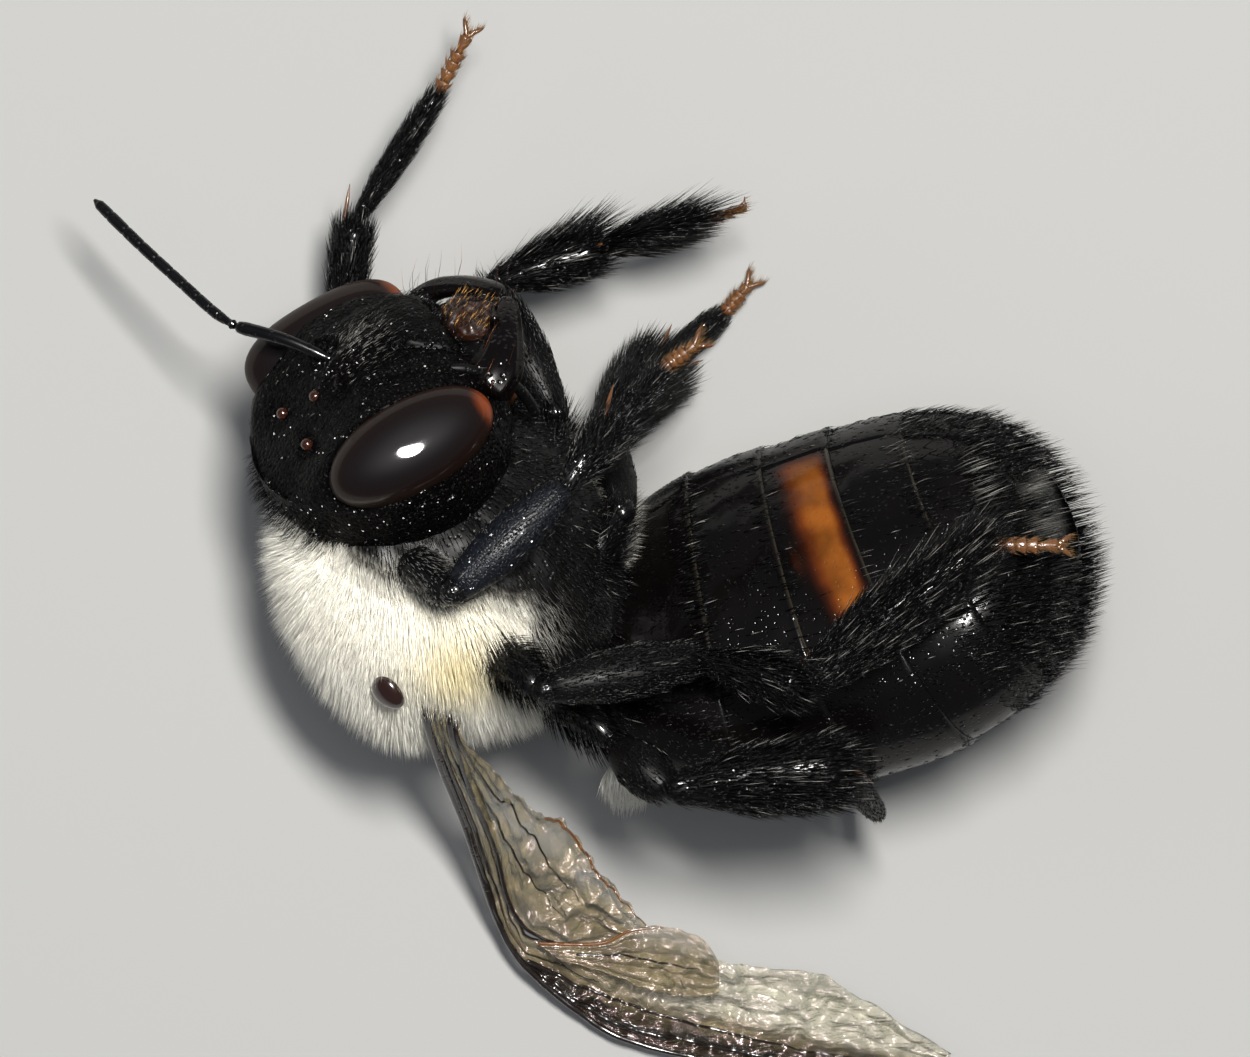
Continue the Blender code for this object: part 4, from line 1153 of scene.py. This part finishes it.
# --- legs -----------------------------------------------------------------------------------
# Each leg's root, hip, knee, ankle, heel and toe: the ends of its coxa, femur, tibia,
# basitarsus and tarsus.
LEG_POINTS = {
    "fore_right": ((-1.0, -0.35, 8.15), (-0.1, -0.95, 8.5), (2.25, 1.25, 8.2),
                   (3.3, 2.65, 7.5), (4.28, 3.72, 6.9), (5.2, 4.4, 6.7)),
    "mid_right": ((1.0, -2.6, 7.3), (1.75, -2.9, 7.75), (5.0, -2.25, 7.1),
                  (7.2, -2.85, 7.9), (11.0, 0.1, 7.7), (12.75, 0.1, 7.2)),
    "hind_right": ((2.75, -3.8, 5.3), (3.3, -4.0, 5.9), (4.4, -4.95, 6.8),
                   (8.15, -4.55, 6.75), (8.8, -5.55, 3.5), (8.3, -5.1, 0.9)),
    "fore_left": ((1.15, 2.95, 4.7), (0.55, 3.35, 4.0), (-2.45, 4.35, 2.1),
                  (-2.12, 6.85, 2.3), (-0.38, 9.55, 2.5), (0.36, 11.0, 2.5)),
    "mid_left": ((2.55, 2.1, 4.6), (2.15, 2.75, 4.1), (0.65, 5.5, 3.2),
                 (3.0, 6.3, 3.0), (4.9, 6.8, 3.0), (6.05, 7.15, 3.0)),
    "hind_left": ((3.75, 0.15, 5.5), (3.5, 0.7, 5.0), (2.95, 2.4, 2.9),
                  (4.4, 3.95, 0.85), (5.6, 4.95, 0.36), (6.3, 5.75, 0.22)),
}
FLAT_SIDE = {"mid_left": (0.2, -0.95, 0.3), "hind_right": (0.2, 1.0, 0.2)}
TIBIA_HALVES = {"fore": (0.38, 0.30), "mid": (0.44, 0.34), "hind": (0.68, 0.40)}
HEEL_HALVES = {"fore": (0.22, 0.17), "mid": (0.58, 0.20), "hind": (0.30, 0.20)}
FEMUR_COVER = {"fore": 0.9, "mid": 1.3, "hind": 0.9}
TIBIA_NAP = {"fore": 0.8, "mid": 1.0, "hind": 1.2}
HEEL_NAP = {"fore": 0.75, "mid": 1.25, "hind": 0.4}
# Where round the tibia and basitarsus a fringe stands, as a turn, and how much longer it is.
FRINGE = {"fore_right": (math.pi, 1.1), "mid_right": (0.0, 0.5), "mid_left": (0.0, 1.0)}
# How many hairs to the square millimetre a segment has, and how far they stand off.
LEG_HAIR = {"coxa": (120, 0.7), "trochanter": (120, 0.55), "femur": (150, 0.4),
            "tibia": (260, 0.55), "basitarsus": (380, 0.42)}
FOOT_JOINTS = (0.0, 0.20, 0.38, 0.54, 0.70, 1.0)    # shares of a foot's length
CLAW_REACH = 0.30                                   # how far the claws stand past the foot
SIDEWAYS = (0, 0.2, 1)                              # what a round segment is wide square to


def limb(path, wide, deep, up, cover, nap, around=20, fringe=None):
    """One segment's skin, its hair lying toward the foot; a fringe is longer on one side."""
    rows, ahead = tube(path, wide, deep, up, around)
    points, faces, corners = skin_of(rows)
    n = len(rows)
    lie = np.concatenate([np.repeat(ahead, around, 0), ahead[:1], ahead[-1:]])
    turn = np.concatenate([np.tile(np.linspace(0, 2 * math.pi, around, endpoint=False), n),
                           [0, 0]])
    along = np.concatenate([np.repeat(np.linspace(0, 1, n), around), [0, 1]])
    naps = nap * (0.75 + 0.5 * ease(along, 0.0, 0.5)) * np.ones(len(points))
    covers = cover * np.ones(len(points))
    if fringe:
        where, longer = fringe
        edge = hump(np.cos((turn - where) / 2) ** 2, 1.0, 0.12)
        naps = naps * (1 + longer * edge)
        covers = covers * (1 + 0.8 * edge)
    points = points + 0.012 * rough(points, 0.3)[:, None] * unit(points - points.mean(0))
    return points, faces, corners, marks_for(len(points), covers, naps, lie)


def trim(start, end, from_start, from_end, count, bow=(0, 0, 0)):
    """Points between two joints, shortened at both ends in mm and bowed out in the middle."""
    start, end = np.array(start, float), np.array(end, float)
    along = unit(end - start)
    t = np.linspace(0, 1, count)[:, None]
    a, b = start + along * from_start, end - along * from_end
    return a + (b - a) * t + np.array(bow) * np.sin(t * math.pi)


def claw_shells(toe, ahead, across, down):
    """Two hooked claws, each with a small inner tooth, and the pad between them."""
    shells = []
    for side in (-1, 1):
        path = smooth_path([toe, toe + ahead * 0.16 + across * side * 0.10,
                            toe + ahead * 0.30 + across * side * 0.20 + down * 0.03,
                            toe + ahead * 0.36 + across * side * 0.22 + down * 0.17], 12)
        girth = profile(12, (0, 0.06), (0.5, 0.05), (1, 0.008))
        shells.append(rod(path, girth, girth, down + 0.01, 8))
        tooth = smooth_path([path[5], path[5] + ahead * 0.06 + down * 0.09], 4)
        girth = profile(4, (0, 0.03), (1, 0.006))
        shells.append(rod(tooth, girth, girth, across, 6))
    pad = smooth_path([toe, toe + ahead * 0.10 + down * 0.02], 6)
    girth = profile(6, (0, 0.03), (0.5, 0.07), (1, 0.02))
    return shells + [rod(pad, girth, girth, down, 8)]


def foot_shells(heel, toe, up):
    """Four short lobed joints, each flaring to its end, and a longer one with the claws."""
    ahead = unit(toe - heel)
    across = unit(np.cross(up, ahead))
    down = np.cross(across, ahead)
    length = np.linalg.norm(toe - heel) - CLAW_REACH
    shells = []
    for a, b in zip(FOOT_JOINTS, FOOT_JOINTS[1:]):
        last = b == FOOT_JOINTS[-1]
        path = smooth_path([heel + ahead * length * a, heel + ahead * length * (a + b) / 2
                            - down * 0.015, heel + ahead * length * (b + 0.02)], 12)
        wide = profile(12, (0, 0.05), (0.3, 0.075 if last else 0.10),
                       (0.8, 0.13 if last else 0.17), (0.95, 0.15 if last else 0.18),
                       (1, 0.08))
        shells.append(rod(path, wide, wide * 0.8, up, 14))
    return shells + claw_shells(heel + ahead * length, ahead, across, down)


def spur_shell(start, way):
    """A thin spike at the end of a tibia."""
    length = 0.75
    path = smooth_path([start, start + unit(way) * length * 0.5,
                        start + unit(way) * length + (0, 0, -0.04)], 12)
    girth = profile(12, (0, 0.055), (0.6, 0.04), (1, 0.006))
    return rod(path, girth, girth, (0.1, 0.3, 1), 8)


def leg_segments(name):
    """The skins of a leg's hairy segments, from the root to the heel."""
    pair = name.split("_")[0]
    root, hip, knee, ankle, heel, _ = np.array(LEG_POINTS[name], float)
    inward = unit(THORAX[0] - root)
    reach = smooth_path([root + inward * 1.6, root + inward * 0.9, root * 0.35 + hip * 0.65
                         + inward * 0.45, hip], 16)
    girth = profile(16, (0, 0.30), (0.3, 0.46), (0.7, 0.42), (0.9, 0.30), (1, 0.12))
    coxa = limb(reach, girth, girth, SIDEWAYS, 1.0, 1.2)
    if name == "fore_right":
        # Greyer hair on the fore right coxa: partly pale hairs, partly painted glint of silver
        # streaks.
        coxa[3][PALE] = np.full(len(coxa[0]), 0.12)
        coxa[3][NAP] = coxa[3][NAP] * 0.55
    knob = trim(hip, knee, -0.15, np.linalg.norm(knee - hip) - 0.42, 10)
    girth = profile(10, (0, 0.12), (0.3, 0.28), (0.7, 0.30), (1, 0.18))
    trochanter = limb(knob, girth, girth, SIDEWAYS, 1.0, 0.8)
    thigh = trim(hip, knee, 0.10, -0.10, 34, (0, 0, 0.06))
    girth = profile(34, (0, 0.22), (0.12, 0.38), (0.35, 0.52), (0.6, 0.53), (0.82, 0.42),
                    (0.94, 0.33), (1, 0.14))
    cover = FEMUR_COVER[pair]
    femur = limb(thigh, girth, girth * 0.92, SIDEWAYS, cover, 0.45 * cover, 24)
    wide, deep = TIBIA_HALVES[pair]
    shape = profile(36, (0, 0.25), (0.06, 0.50), (0.12, 0.48), (0.4, 0.9), (0.7, 1.0),
                    (0.93, 0.95), (1, 0.45))
    tibia = limb(trim(knee, ankle, -0.05, 0.0, 36), wide * shape, deep * shape, (0, 0, 1), 1.0,
                 TIBIA_NAP[pair], 24, FRINGE.get(name))
    wide, deep = HEEL_HALVES[pair]
    shape = profile(30, (0, 0.35), (0.1, 0.7), (0.35, 1.0), (0.7, 0.95), (0.95, 0.7), (1, 0.3))
    basitarsus = limb(trim(ankle, heel, -0.04, 0.0, 30), wide * shape, deep * shape,
                      FLAT_SIDE.get(name, (0, 0, 1)), 1.2, HEEL_NAP[pair],
                      fringe=FRINGE.get(name))
    return {"coxa": coxa, "trochanter": trochanter, "femur": femur, "tibia": tibia,
            "basitarsus": basitarsus}


def build_leg(name):
    """A leg's segments with their hair, then its foot with golden bristles, then its spurs."""
    for part, shell in leg_segments(name).items():
        skin = make_mesh(f"{part}_skin_{name}", *shell)
        hides = () if part == "trochanter" else (f"{part}_{name}",)
        finish = LEG_CUTICLE
        if part == "femur":
            finish = FEMUR_CUTICLE if name == "fore_right" else DULL_CUTICLE
        finish_piece(skin, finish, "leg_shell", *hides)
        many, lift = LEG_HAIR[part]
        grow_coat(f"{part}_hair_{name}", skin, "leg_shell", BLACK_HAIR, many, 0.50, 0.020,
                  lift=lift, bend=0.15, spread=0.14, clump=0.2, seed=70)
    ankle, heel, toe = np.array(LEG_POINTS[name][3:], float)
    flat = np.array(FLAT_SIDE.get(name, (0, 0, 1)), float)
    points, faces, corners = join(*foot_shells(heel, toe, flat))
    foot = make_mesh(f"foot_{name}", points, faces, corners,
                     marks_for(len(points), 1.0, 1.0, unit(toe - heel)))
    finish_piece(foot, BROWN_CUTICLE, "foot_shell", f"tarsus_{name}")
    grow_coat(f"foot_hair_{name}", foot, "foot_shell", GOLD_HAIR, 260, 0.20, 0.014, lift=0.5,
              bend=0.2, spread=0.2, segments=1, seed=90)
    way = unit(heel - ankle)
    side = unit(np.cross(flat, way))
    spurs = [spur_shell(ankle - way * 0.05 + side * 0.22, way + side * 0.45)]
    if name.startswith("hind"):
        spurs.append(spur_shell(ankle - way * 0.05 - side * 0.22, way - side * 0.35))
    finish_piece(make_mesh(f"spurs_{name}", *join(*spurs)), BROWN_CUTICLE, "foot_shell")


# --- wings ----------------------------------------------------------------------------------
# A wing never spread lies in strips between a leading and a trailing edge.
MEMBRANES = {
    "forewing_right": (
        ((-0.46, -2.85, 5.75), (-0.62, -3.33, 6.1), (-0.33, -4.42, 4.6), (0.19, -5.77, 2.9),
         (0.77, -7.52, 1.3), (1.19, -8.4, 0.9), (1.71, -9.04, 0.7), (2.52, -9.73, 0.5),
         (3.4, -10.3, 0.42), (5.1, -10.75, 0.35), (7.2, -11.0, 0.3), (10.3, -11.0, 0.25)),
        ((0.02, -3.05, 5.6), (-0.10, -3.54, 5.9), (0.19, -4.48, 4.6), (0.6, -5.4, 3.3),
         (1.06, -6.88, 1.9), (1.42, -8.04, 1.3), (2.19, -8.23, 1.0), (3.85, -8.4, 0.8),
         (5.6, -8.6, 0.7), (7.0, -8.8, 0.6), (8.6, -9.5, 0.45), (10.4, -10.6, 0.3))),
    "hindwing_right": (
        ((0.05, -3.15, 5.5), (-0.06, -3.6, 5.8), (0.31, -5.0, 4.0), (0.83, -6.25, 2.5),
         (1.25, -7.7, 1.5), (2.2, -8.3, 1.2), (3.5, -8.3, 1.1)),
        ((0.22, -3.4, 5.3), (0.15, -3.9, 5.6), (0.94, -4.7, 4.5), (1.7, -5.4, 3.6),
         (2.4, -5.95, 2.9), (3.1, -6.8, 2.0), (3.98, -7.85, 1.25))),
    "wing_fold_right": (
        ((1.71, -8.27, 1.3), (3.02, -8.25, 1.4), (3.69, -7.96, 1.45), (4.56, -7.92, 1.4),
         (5.2, -8.19, 1.3), (5.52, -8.69, 1.15)),
        ((2.19, -8.6, 1.2), (3.1, -8.85, 1.2), (3.85, -9.15, 1.15), (4.52, -9.35, 1.1),
         (5.02, -9.4, 1.05), (5.5, -9.3, 1.0))),
    "forewing_left": (
        ((2.0, 0.75, 0.5), (2.55, -0.9, 0.35), (2.7, -2.8, 0.3), (3.3, -4.6, 0.25)),
        ((2.5, 0.78, 0.5), (3.35, -0.9, 0.35), (3.6, -2.8, 0.3), (3.9, -4.55, 0.25))),
    "hindwing_left": (
        ((2.6, 1.1, 0.8), (3.3, 0.5, 0.5), (4.1, 0.05, 0.35)),
        ((2.9, 1.4, 0.8), (3.7, 1.05, 0.5), (4.35, 0.6, 0.35))),
}
WING_NODES = {"forewing_right": ("forewing_right_base", "forewing_right_blade",
                                 "forewing_right_tip"),
              "hindwing_right": ("hindwing_right",), "forewing_left": ("forewing_left",),
              "hindwing_left": ("hindwing_left",), "wing_fold_right": ()}
# Each vein's place across its membrane, where along it the vein starts and ends, and its radius.
VEINS = {
    "forewing_right": ((0.02, 0.0, 1.0, 0.10), (0.14, 0.0, 0.75, 0.06), (0.42, 0.02, 0.62, 0.05),
                       (0.72, 0.03, 0.45, 0.04), (0.98, 0.0, 0.5, 0.08), (0.28, 0.5, 0.97, 0.05),
                       (0.10, 0.55, 0.98, 0.07)),
    "hindwing_right": ((0.0, 0.0, 0.95, 0.07), (0.3, 0.05, 0.8, 0.035), (0.6, 0.1, 0.85, 0.03),
                       (0.98, 0.55, 1.0, 0.035)),
    "wing_fold_right": ((0.02, 0.0, 0.55, 0.045), (0.5, 0.1, 0.8, 0.03)),
    "forewing_left": ((0.05, 0.0, 0.9, 0.07), (0.5, 0.05, 0.8, 0.04)),
    "hindwing_left": ((0.05, 0.0, 0.9, 0.05),),
}
AMBER_VEINS = {"hindwing_right": (3,), "wing_fold_right": (0,)}    # by their order above
EDGE_STEPS = 200       # points along each edge of a membrane
HALF_FILM = 0.011      # half a membrane's thickness
WRINKLE_MM = 0.42      # from one wrinkle to the next, across a wing
LENGTHWISE = 0.35      # a wrinkle runs on along a wing, so lengths count this much there
VEIN_RISE = 0.012      # how far a vein's middle lies over the membrane's
LOWEST_WING = 0.06     # the least height of a membrane over the floor


def membrane_finish():
    """Wing membrane: chitin film, clear and smoky brown, wrinkled where it never dried flat."""
    finish, tree, shader = new_finish("smoky wing membrane", IOR=1.8, Coat_Weight=1.0,
                                      Coat_Roughness=0.20, Coat_IOR=1.9,
                                      Thin_Film_Thickness=372.0, Thin_Film_IOR=1.66)
    where = add(tree, "ShaderNodeTexCoord").outputs["Object"]
    cloud = add(tree, "ShaderNodeTexNoise", {"Vector": where, "Scale": per_metre(0.8),
                                             "Detail": 4.0, "Distortion": 0.8})
    tone = add(tree, "ShaderNodeMix", {0: cloud.outputs["Fac"], 6: linear("#3A2C16"),
                                       7: linear("#8A7E60")}, data_type="RGBA")
    milk, dark = (add(tree, "ShaderNodeAttribute", attribute_name=a).outputs["Fac"]
                  for a in ("milky", "stained"))
    tinted = add(tree, "ShaderNodeMix", {0: milk, 6: tone.outputs[2], 7: linear("#9A9687")},
                 data_type="RGBA")
    stained = add(tree, "ShaderNodeMix", {0: dark, 6: tinted.outputs[2], 7: linear("#1E140A")},
                  data_type="RGBA")
    tree.links.new(stained.outputs[2], shader.inputs["Base Color"])
    clear = add(tree, "ShaderNodeMapRange", {"Value": cloud.outputs["Fac"], "From Min": 0.35,
                                             "From Max": 0.7, "To Min": 0.40, "To Max": 0.66})
    body = add(tree, "ShaderNodeMath", {0: milk, 1: 0.15, 2: clear}, operation="MULTIPLY_ADD")
    solid = add(tree, "ShaderNodeMath", {0: dark, 1: 0.35, 2: body}, operation="MULTIPLY_ADD",
                use_clamp=True)
    tree.links.new(solid.outputs[0], shader.inputs["Alpha"])
    lengthwise = add(tree, "ShaderNodeAttribute", attribute_name="grain").outputs["Vector"]
    wrinkle = add(tree, "ShaderNodeTexNoise", {"Vector": lengthwise, "Scale": 1 / WRINKLE_MM,
                                               "Detail": 5.0, "Roughness": 0.55,
                                               "Distortion": 0.7})
    relief = add(tree, "ShaderNodeBump", {"Height": wrinkle.outputs["Fac"], "Strength": 1.0,
                                          "Distance": 0.5 * MM})
    for key in ("Normal", "Coat Normal"):
        tree.links.new(relief.outputs["Normal"], shader.inputs[key])
    gloss = add(tree, "ShaderNodeMapRange", {"Value": wrinkle.outputs["Fac"], "To Min": 0.14,
                                             "To Max": 0.34})
    tree.links.new(gloss.outputs["Result"], shader.inputs["Roughness"])
    return finish


MEMBRANE = membrane_finish()


def wing_points(name, along, across, seed):
    """Points of a crumpled membrane at shares along it and across it."""
    lead, trail = (smooth_path(edge, EDGE_STEPS) for edge in MEMBRANES[name])
    at = np.asarray(along) * (EDGE_STEPS - 1)
    i = np.minimum(at.astype(int), EDGE_STEPS - 2)
    t = (at - i)[..., None]
    a = lead[i] + (lead[i + 1] - lead[i]) * t
    b = trail[i] + (trail[i + 1] - trail[i]) * t
    p = a + (b - a) * np.asarray(across)[..., None]
    ahead = unit(lead[i + 1] - lead[i])
    up = unit(np.cross(ahead, unit(b - a + 1e-6)))
    up = up * np.where(up[..., 2:] < 0, -1, 1)
    width = np.linalg.norm(b - a, axis=-1)
    fold = np.sin(across * 13 + 3 * along + 2.2 * rough(p, 2.5, seed))
    pleat = 0.09 * (np.abs(fold) * 1.6 - 0.8)
    crease = 0.34 * (0.28 - np.abs(rough(p * (1.0, 1.0, 0.4), 0.9, seed)))
    small = 0.26 * (0.25 - np.abs(rough(p * (1.0, 1.0, 0.5), 0.38, seed + 3)))
    free = ease(np.asarray(across), 0.0, 0.15) * 0.85 + 0.15
    tail = 0.5 + 0.7 * ease(along, 0.25, 0.8)
    height = (pleat + (crease + small) * tail) * np.minimum(width, 1.1) * free
    p = p + up * height[..., None]
    p[..., 2] = np.maximum(p[..., 2], LOWEST_WING)
    return p


def build_membrane(name, seed):
    """A closed film with a ragged edge, marked for its milky and stained parts and its grain."""
    rows, columns = (260, 50) if "left" not in name else (90, 24)
    s, t = np.meshgrid(np.linspace(0, 1, rows), np.linspace(0, 1, columns), indexing="ij")
    ragged = 0.05 * rough(np.stack([s * 30, t, 0 * s], -1), 1.0, seed) * (t > 0.98)
    torn = rough(np.stack([s * 11, 0 * t, 0 * s], -1), 1.0, seed + 6)
    if name == "wing_fold_right":
        ragged = 0.10 * torn * (t - 0.5)
    elif name == "forewing_right":
        ragged = ragged + 0.16 * torn * ease(s, 0.52, 0.68) * ease(t, 0.55, 1.0)
    top = wing_points(name, s, np.clip(t + ragged, -0.1, 1.14), seed)
    du, dv = np.gradient(top, axis=0), np.gradient(top, axis=1)
    normal = unit(np.cross(dv, du))
    points = np.concatenate([(top + normal * HALF_FILM).reshape(-1, 3),
                             (top - normal * HALF_FILM).reshape(-1, 3)])
    fore = name == "forewing_right"
    milky = np.tile((ease(s, 0.60, 0.75) * ease(t, 0.35, 0.55)).ravel() * fore, 2)
    stained = np.tile((ease(s, 0.42, 0.55) * (1 - ease(t, 0.22, 0.42))).ravel() * fore, 2)
    spine = top[:, columns // 2]
    steps = np.linalg.norm(np.diff(spine, axis=0, prepend=spine[:1]), axis=1)
    run = np.cumsum(steps)[:, None] * np.ones_like(t)
    reach = np.linalg.norm(top[:, -1] - top[:, 0], axis=1)[:, None] * t
    grain = np.stack([run * LENGTHWISE, reach, 0 * t], -1).reshape(-1, 3)
    wing = make_mesh(f"membrane_{name}", points, *sheet_faces(rows, columns),
                     {"milky": milky, "stained": stained, "grain": np.tile(grain, (2, 1))})
    finish_piece(wing, MEMBRANE, "wing_membrane", *WING_NODES[name])


def build_veins(name, seed):
    """Tubes laid along the membrane, dark or amber."""
    for tone, finish in (("dark", VEIN), ("amber", AMBER_VEIN)):
        shells = []
        for n, (across, start, end, radius) in enumerate(VEINS[name]):
            if (n in AMBER_VEINS.get(name, ())) != (tone == "amber"):
                continue
            s = np.linspace(start, end, 90)
            drift = across + 0.05 * np.sin(s * 9 + across * 5) * (0.05 < across < 0.95)
            path = wing_points(name, s, drift, seed) + (0, 0, VEIN_RISE)
            girth = radius * profile(90, (0, 1.0), (0.7, 0.7), (1, 0.25))
            shells.append(rod(path, girth, girth * 0.8, (0, 0, 1), 8))
        if shells:
            veins = make_mesh(f"veins_{tone}_{name}", *join(*shells))
            finish_piece(veins, finish, "wing_membrane")


# --- stage ----------------------------------------------------------------------------------
VIEW_MIDDLE = np.array((3.542, 0.448))    # the view's middle on the floor
VIEW_WIDTH, VIEW_HEIGHT = 26.04, 4.5      # the view's width at this height, the bee's middle
CAMERA_HEIGHT, SENSOR = 400.0, 36.0
LIT_HEIGHT = 3.0                          # the height over the view's middle that lamps face
FLOOR_HALF = 3000.0


def point_at(thing, place_mm, target_mm, roll):
    """Puts a lamp in place, facing its target and rolled about that line."""
    thing.location = Vector((np.array(place_mm) + SHIFT) * MM)
    way = Vector((np.array(target_mm, float) - np.array(place_mm)))
    turn = way.to_track_quat("-Z", "Y") @ Matrix.Rotation(roll, 3, "Z").to_quaternion()
    thing.rotation_euler = turn.to_euler()


def add_light(name, place_mm, size_mm, watts, colour, roll=0.0, glossy=True):
    """A soft oval lamp that faces the bee; `glossy` says if shiny chitin mirrors it."""
    lamp = bpy.data.lights.new(name, "AREA")
    lamp.shape = "ELLIPSE"
    lamp.size, lamp.size_y = (s * MM for s in size_mm)
    lamp.energy = watts
    lamp.color = linear(colour)[:3]
    thing = bpy.data.objects.new(name, lamp)
    thing.visible_glossy = glossy
    bpy.context.scene.collection.objects.link(thing)
    point_at(thing, place_mm, (*VIEW_MIDDLE, LIT_HEIGHT), roll)


def build_stage():
    """A camera far overhead, a pale floor, a long key lamp, two soft fills and a dim sky."""
    scene = bpy.context.scene
    lens = bpy.data.cameras.new("camera")
    lens.sensor_width = SENSOR
    lens.lens = SENSOR * (CAMERA_HEIGHT - VIEW_HEIGHT) / VIEW_WIDTH
    lens.clip_start, lens.clip_end = 0.01, 10.0
    camera = bpy.data.objects.new("camera", lens)
    scene.collection.objects.link(camera)
    camera.location = Vector((np.array((*VIEW_MIDDLE, CAMERA_HEIGHT)) + SHIFT) * MM)
    scene.camera = camera

    ring = ((-1, -1, 0), (1, -1, 0), (1, 1, 0), (-1, 1, 0))
    floor = make_mesh("floor", np.array(ring) * FLOOR_HALF, [(0, 1, 2, 3)])
    floor.data.materials.append(new_finish("pale floor", Roughness=0.9,
                                           Base_Color=linear("#7C7C7A"))[0])

    add_light("key", (22.0, 40.0, 190.0), (27.0, 62.0), 1.0, "#FFFDFA", math.radians(60))
    add_light("front fill", (-10.0, 10.0, 360.0), (220.0, 220.0), 0.5, "#F4F6FF", glossy=False)
    add_light("left fill", (-190.0, 20.0, 120.0), (120.0, 120.0), 0.10, "#EEF2FF",
              glossy=False)
    world = bpy.data.worlds.new("soft studio")
    world.use_nodes = True
    sky = world.node_tree.nodes["Background"]
    sky.inputs["Color"].default_value = linear("#DDE4EE")
    sky.inputs["Strength"].default_value = 0.16
    scene.world = world
    scene.view_settings.view_transform = "Standard"


def main():
    """Builds the stage, then the bee from its head to its wings."""
    build_stage()
    build_head()
    build_eyes()
    build_ocelli()
    build_mandibles()
    build_mouth()
    build_antennae()
    build_thorax()
    build_neck()
    build_tegulae()
    build_abdomen()
    for name in LEG_POINTS:
        build_leg(name)
    for seed, name in enumerate(MEMBRANES):
        build_membrane(name, seed + 1.0)
        build_veins(name, seed + 1.0)


main()
